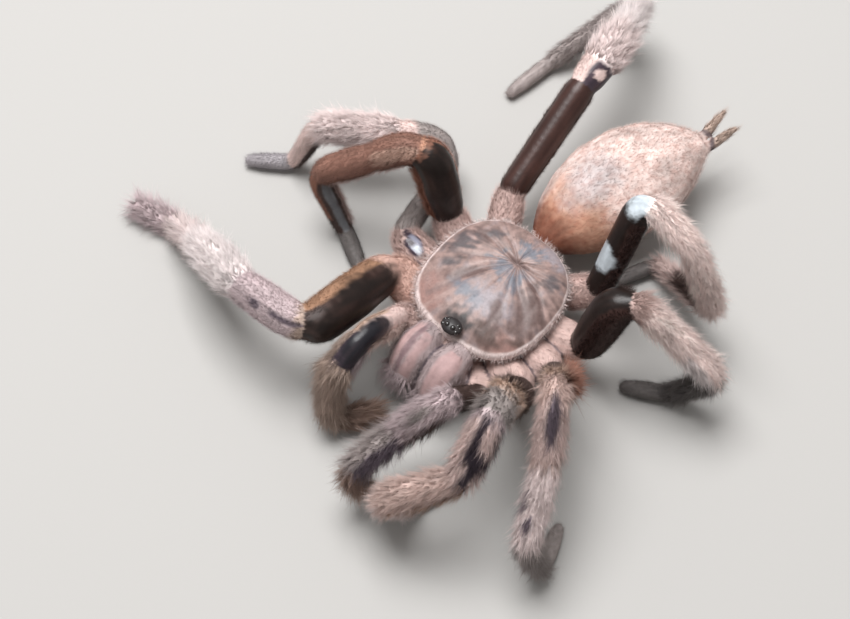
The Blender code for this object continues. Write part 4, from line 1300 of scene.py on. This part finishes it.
def set_coat_of_shield(mesh, corners, tint, turn, total):
    """Felt that lies outwards over the shell, and a fringe round its edge."""
    count = len(corners)
    rows = np.concatenate([np.repeat(np.arange(total), SHIELD_SPOKES), [0, total]])
    outward = np.concatenate([np.tile(turn, total), [0, 0]]) + HEAD_TURN
    fringe = (rows >= SHIELD_RINGS - FRINGE_RINGS) & (rows <= SHIELD_RINGS + 1)
    felt = rows < SHIELD_RINGS - FRINGE_RINGS
    region = np.where(fringe, 1, np.where(felt, 0, 2))
    out = np.stack([np.cos(outward), np.sin(outward), np.zeros(count)], axis=1)
    sweep = wander(corners, 500, 41)
    side = np.stack([-out[:, 1], out[:, 0], out[:, 2]], axis=1)
    lift = np.where(fringe, 0.10, 0.55)
    way = out + side * (0.45 * sweep)[:, None]
    way[:, 2] += lift
    way = unit(way) * np.where(fringe, FRINGE_LENGTH, FELT_LENGTH)[:, None]
    owner = np.empty(len(mesh.loops), int)
    mesh.loops.foreach_get("vertex_index", owner)
    place = np.stack([*(corners[:, :2].T * 20 + 0.5), np.zeros(count)], axis=1)[owner]
    hair_tint = np.where(fringe[:, None], np.array(FELT_TINTS["rim"]), tint)
    prepare(mesh, region, np.where(fringe, 14.0, 26.0), way, fringe, hair_tint, place)
    set_attribute(mesh, "felt", "FLOAT_COLOR", "POINT", with_alpha(tint))


def shield_finish():
    """Felted horn, with a fine nap and a faint sheen."""
    made, tree, shader = new_material("carapace_felt", {"Roughness": 0.5, "Sheen Weight": 0.08})
    nap = grain(tree, 2600, 3)
    tint = attribute(tree, "felt", "Color")
    plug(shader, {
        "Base Color": product(tree, tint, ranged(tree, nap, 0.72, 1.25)),
        "Normal": relief(tree, nap, 0.35, 0.04 * MM),
    })
    return made


shield = new_piece("carapace_shell", make_shield(), shield_finish())
grow_coat(shield, "carapace_felt", 0, FELT_TRIANGLES)
grow_coat(shield, "carapace_fringe", 1, FRINGE_TRIANGLES)
strip(shield.data, ("region", "density", "way", "long_hair", "root_place", "tint"))
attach(shield, "root")
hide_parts("carapace")


# ---------------------------------------------------------------- the eyes
# A low black mound near the front edge carries eight glossy eyes: a big round pair in front, and
# three ovals on each side of it.
MOUND_HALF_SIZE = (1.55 * MM, 1.2 * MM)
EYES = (                         # across, along and up from the mound's middle, radius, all in mm
    (0.46, -0.30, 0.46, 0.40), (1.08, -0.44, 0.12, 0.36), (0.76, 0.40, 0.36, 0.26),
    (1.20, 0.26, 0.14, 0.30),
)


def make_mound():
    """The mound, rounded and a little lumpy."""
    low, high = (Vector(corner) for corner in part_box("eye_mound"))
    middle = (low + high) / 2
    shape = bmesh.new()
    bmesh.ops.create_uvsphere(shape, u_segments=48, v_segments=24, radius=1)
    for corner in shape.verts:
        lump = 0.06 * noise.noise(corner.co * 2.5)
        corner.co.x *= MOUND_HALF_SIZE[0] * (1 + lump)
        corner.co.y *= MOUND_HALF_SIZE[1] * (1 + lump)
        corner.co.z *= (high.z - middle.z) * (1 + lump) * 0.80
        corner.co.rotate(Euler((0, 0, HEAD_TURN)))
        corner.co += middle
    return new_mesh("eye_hill", shape), middle


def make_eyes(middle):
    """Eight domes set in the mound."""
    shape = bmesh.new()
    for across, along, up, radius in EYES:
        for side in (-1, 1):
            place = Vector((side * across * MM, along * MM, up * MM))
            place.rotate(Euler((0, 0, HEAD_TURN)))
            eye = bmesh.ops.create_icosphere(shape, subdivisions=3, radius=radius * MM)["verts"]
            bmesh.ops.translate(shape, vec=middle + place, verts=eye)
    return new_mesh("eyes", shape)


def horn_finish(name, low, high, roughness, polish=0.6):
    """Dark polished horn with a slightly uneven colour."""
    made, tree, shader = new_material(name, {
        "Roughness": roughness, "Coat Weight": polish, "Coat Roughness": 0.05})
    cloud = grain(tree, 900, 3)
    inputs = {"Factor": cloud, "A": (*low, 1), "B": (*high, 1)}
    colour = add_node(tree, "ShaderNodeMix", inputs, data_type="RGBA").outputs["Result"]
    plug(shader, {"Base Color": colour, "Normal": relief(tree, cloud, 0.15, 0.02 * MM)})
    return made


mound_mesh, mound_middle = make_mound()
mound_horn = horn_finish("mound", (0.004, 0.003, 0.004), (0.02, 0.014, 0.014), 0.55, 0.1)
mound = new_piece("eye_hill", mound_mesh, mound_horn)
glass = horn_finish("eye_glass", (0.004, 0.004, 0.005), (0.02, 0.016, 0.014), 0.06)
eyes = new_piece("eyes", make_eyes(mound_middle), glass)
for piece in (mound, eyes):
    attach(piece, "root")
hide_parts("eye_mound")


# ---------------------------------------------------------------- the fangs
# A curved black fang of smooth horn hangs folded under each jaw. It is swept along the centreline
# of its own solid and keeps the solid's full girth.
fang_horn = horn_finish("fang_horn", (0.01, 0.006, 0.006), (0.05, 0.02, 0.014), 0.2)
for side in "RL":
    low, high = (Vector(corner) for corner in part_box(f"chelicera_{side}"))
    jaw_end = Vector(((low.x + high.x) / 2, low.y, low.z))
    course = Course(f"fang_{side}", [f"fang_{side}"], 8, jaw_end)
    course.skin = course.girths
    mesh = new_mesh(f"fang_{side}_horn", add_faces(bmesh.new(), *swept_mesh(course)))
    fang = new_piece(f"fang_{side}_horn", mesh, fang_horn)
    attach(fang, "root")
    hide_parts(f"fang_{side}")


# ---------------------------------------------------------------- what is left
# The two tufts that the coats were grown from are no pieces, so they go. The bounds of the dressed model
# are found.
for tuft in tufts.values():
    bpy.data.objects.remove(tuft)

low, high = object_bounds()
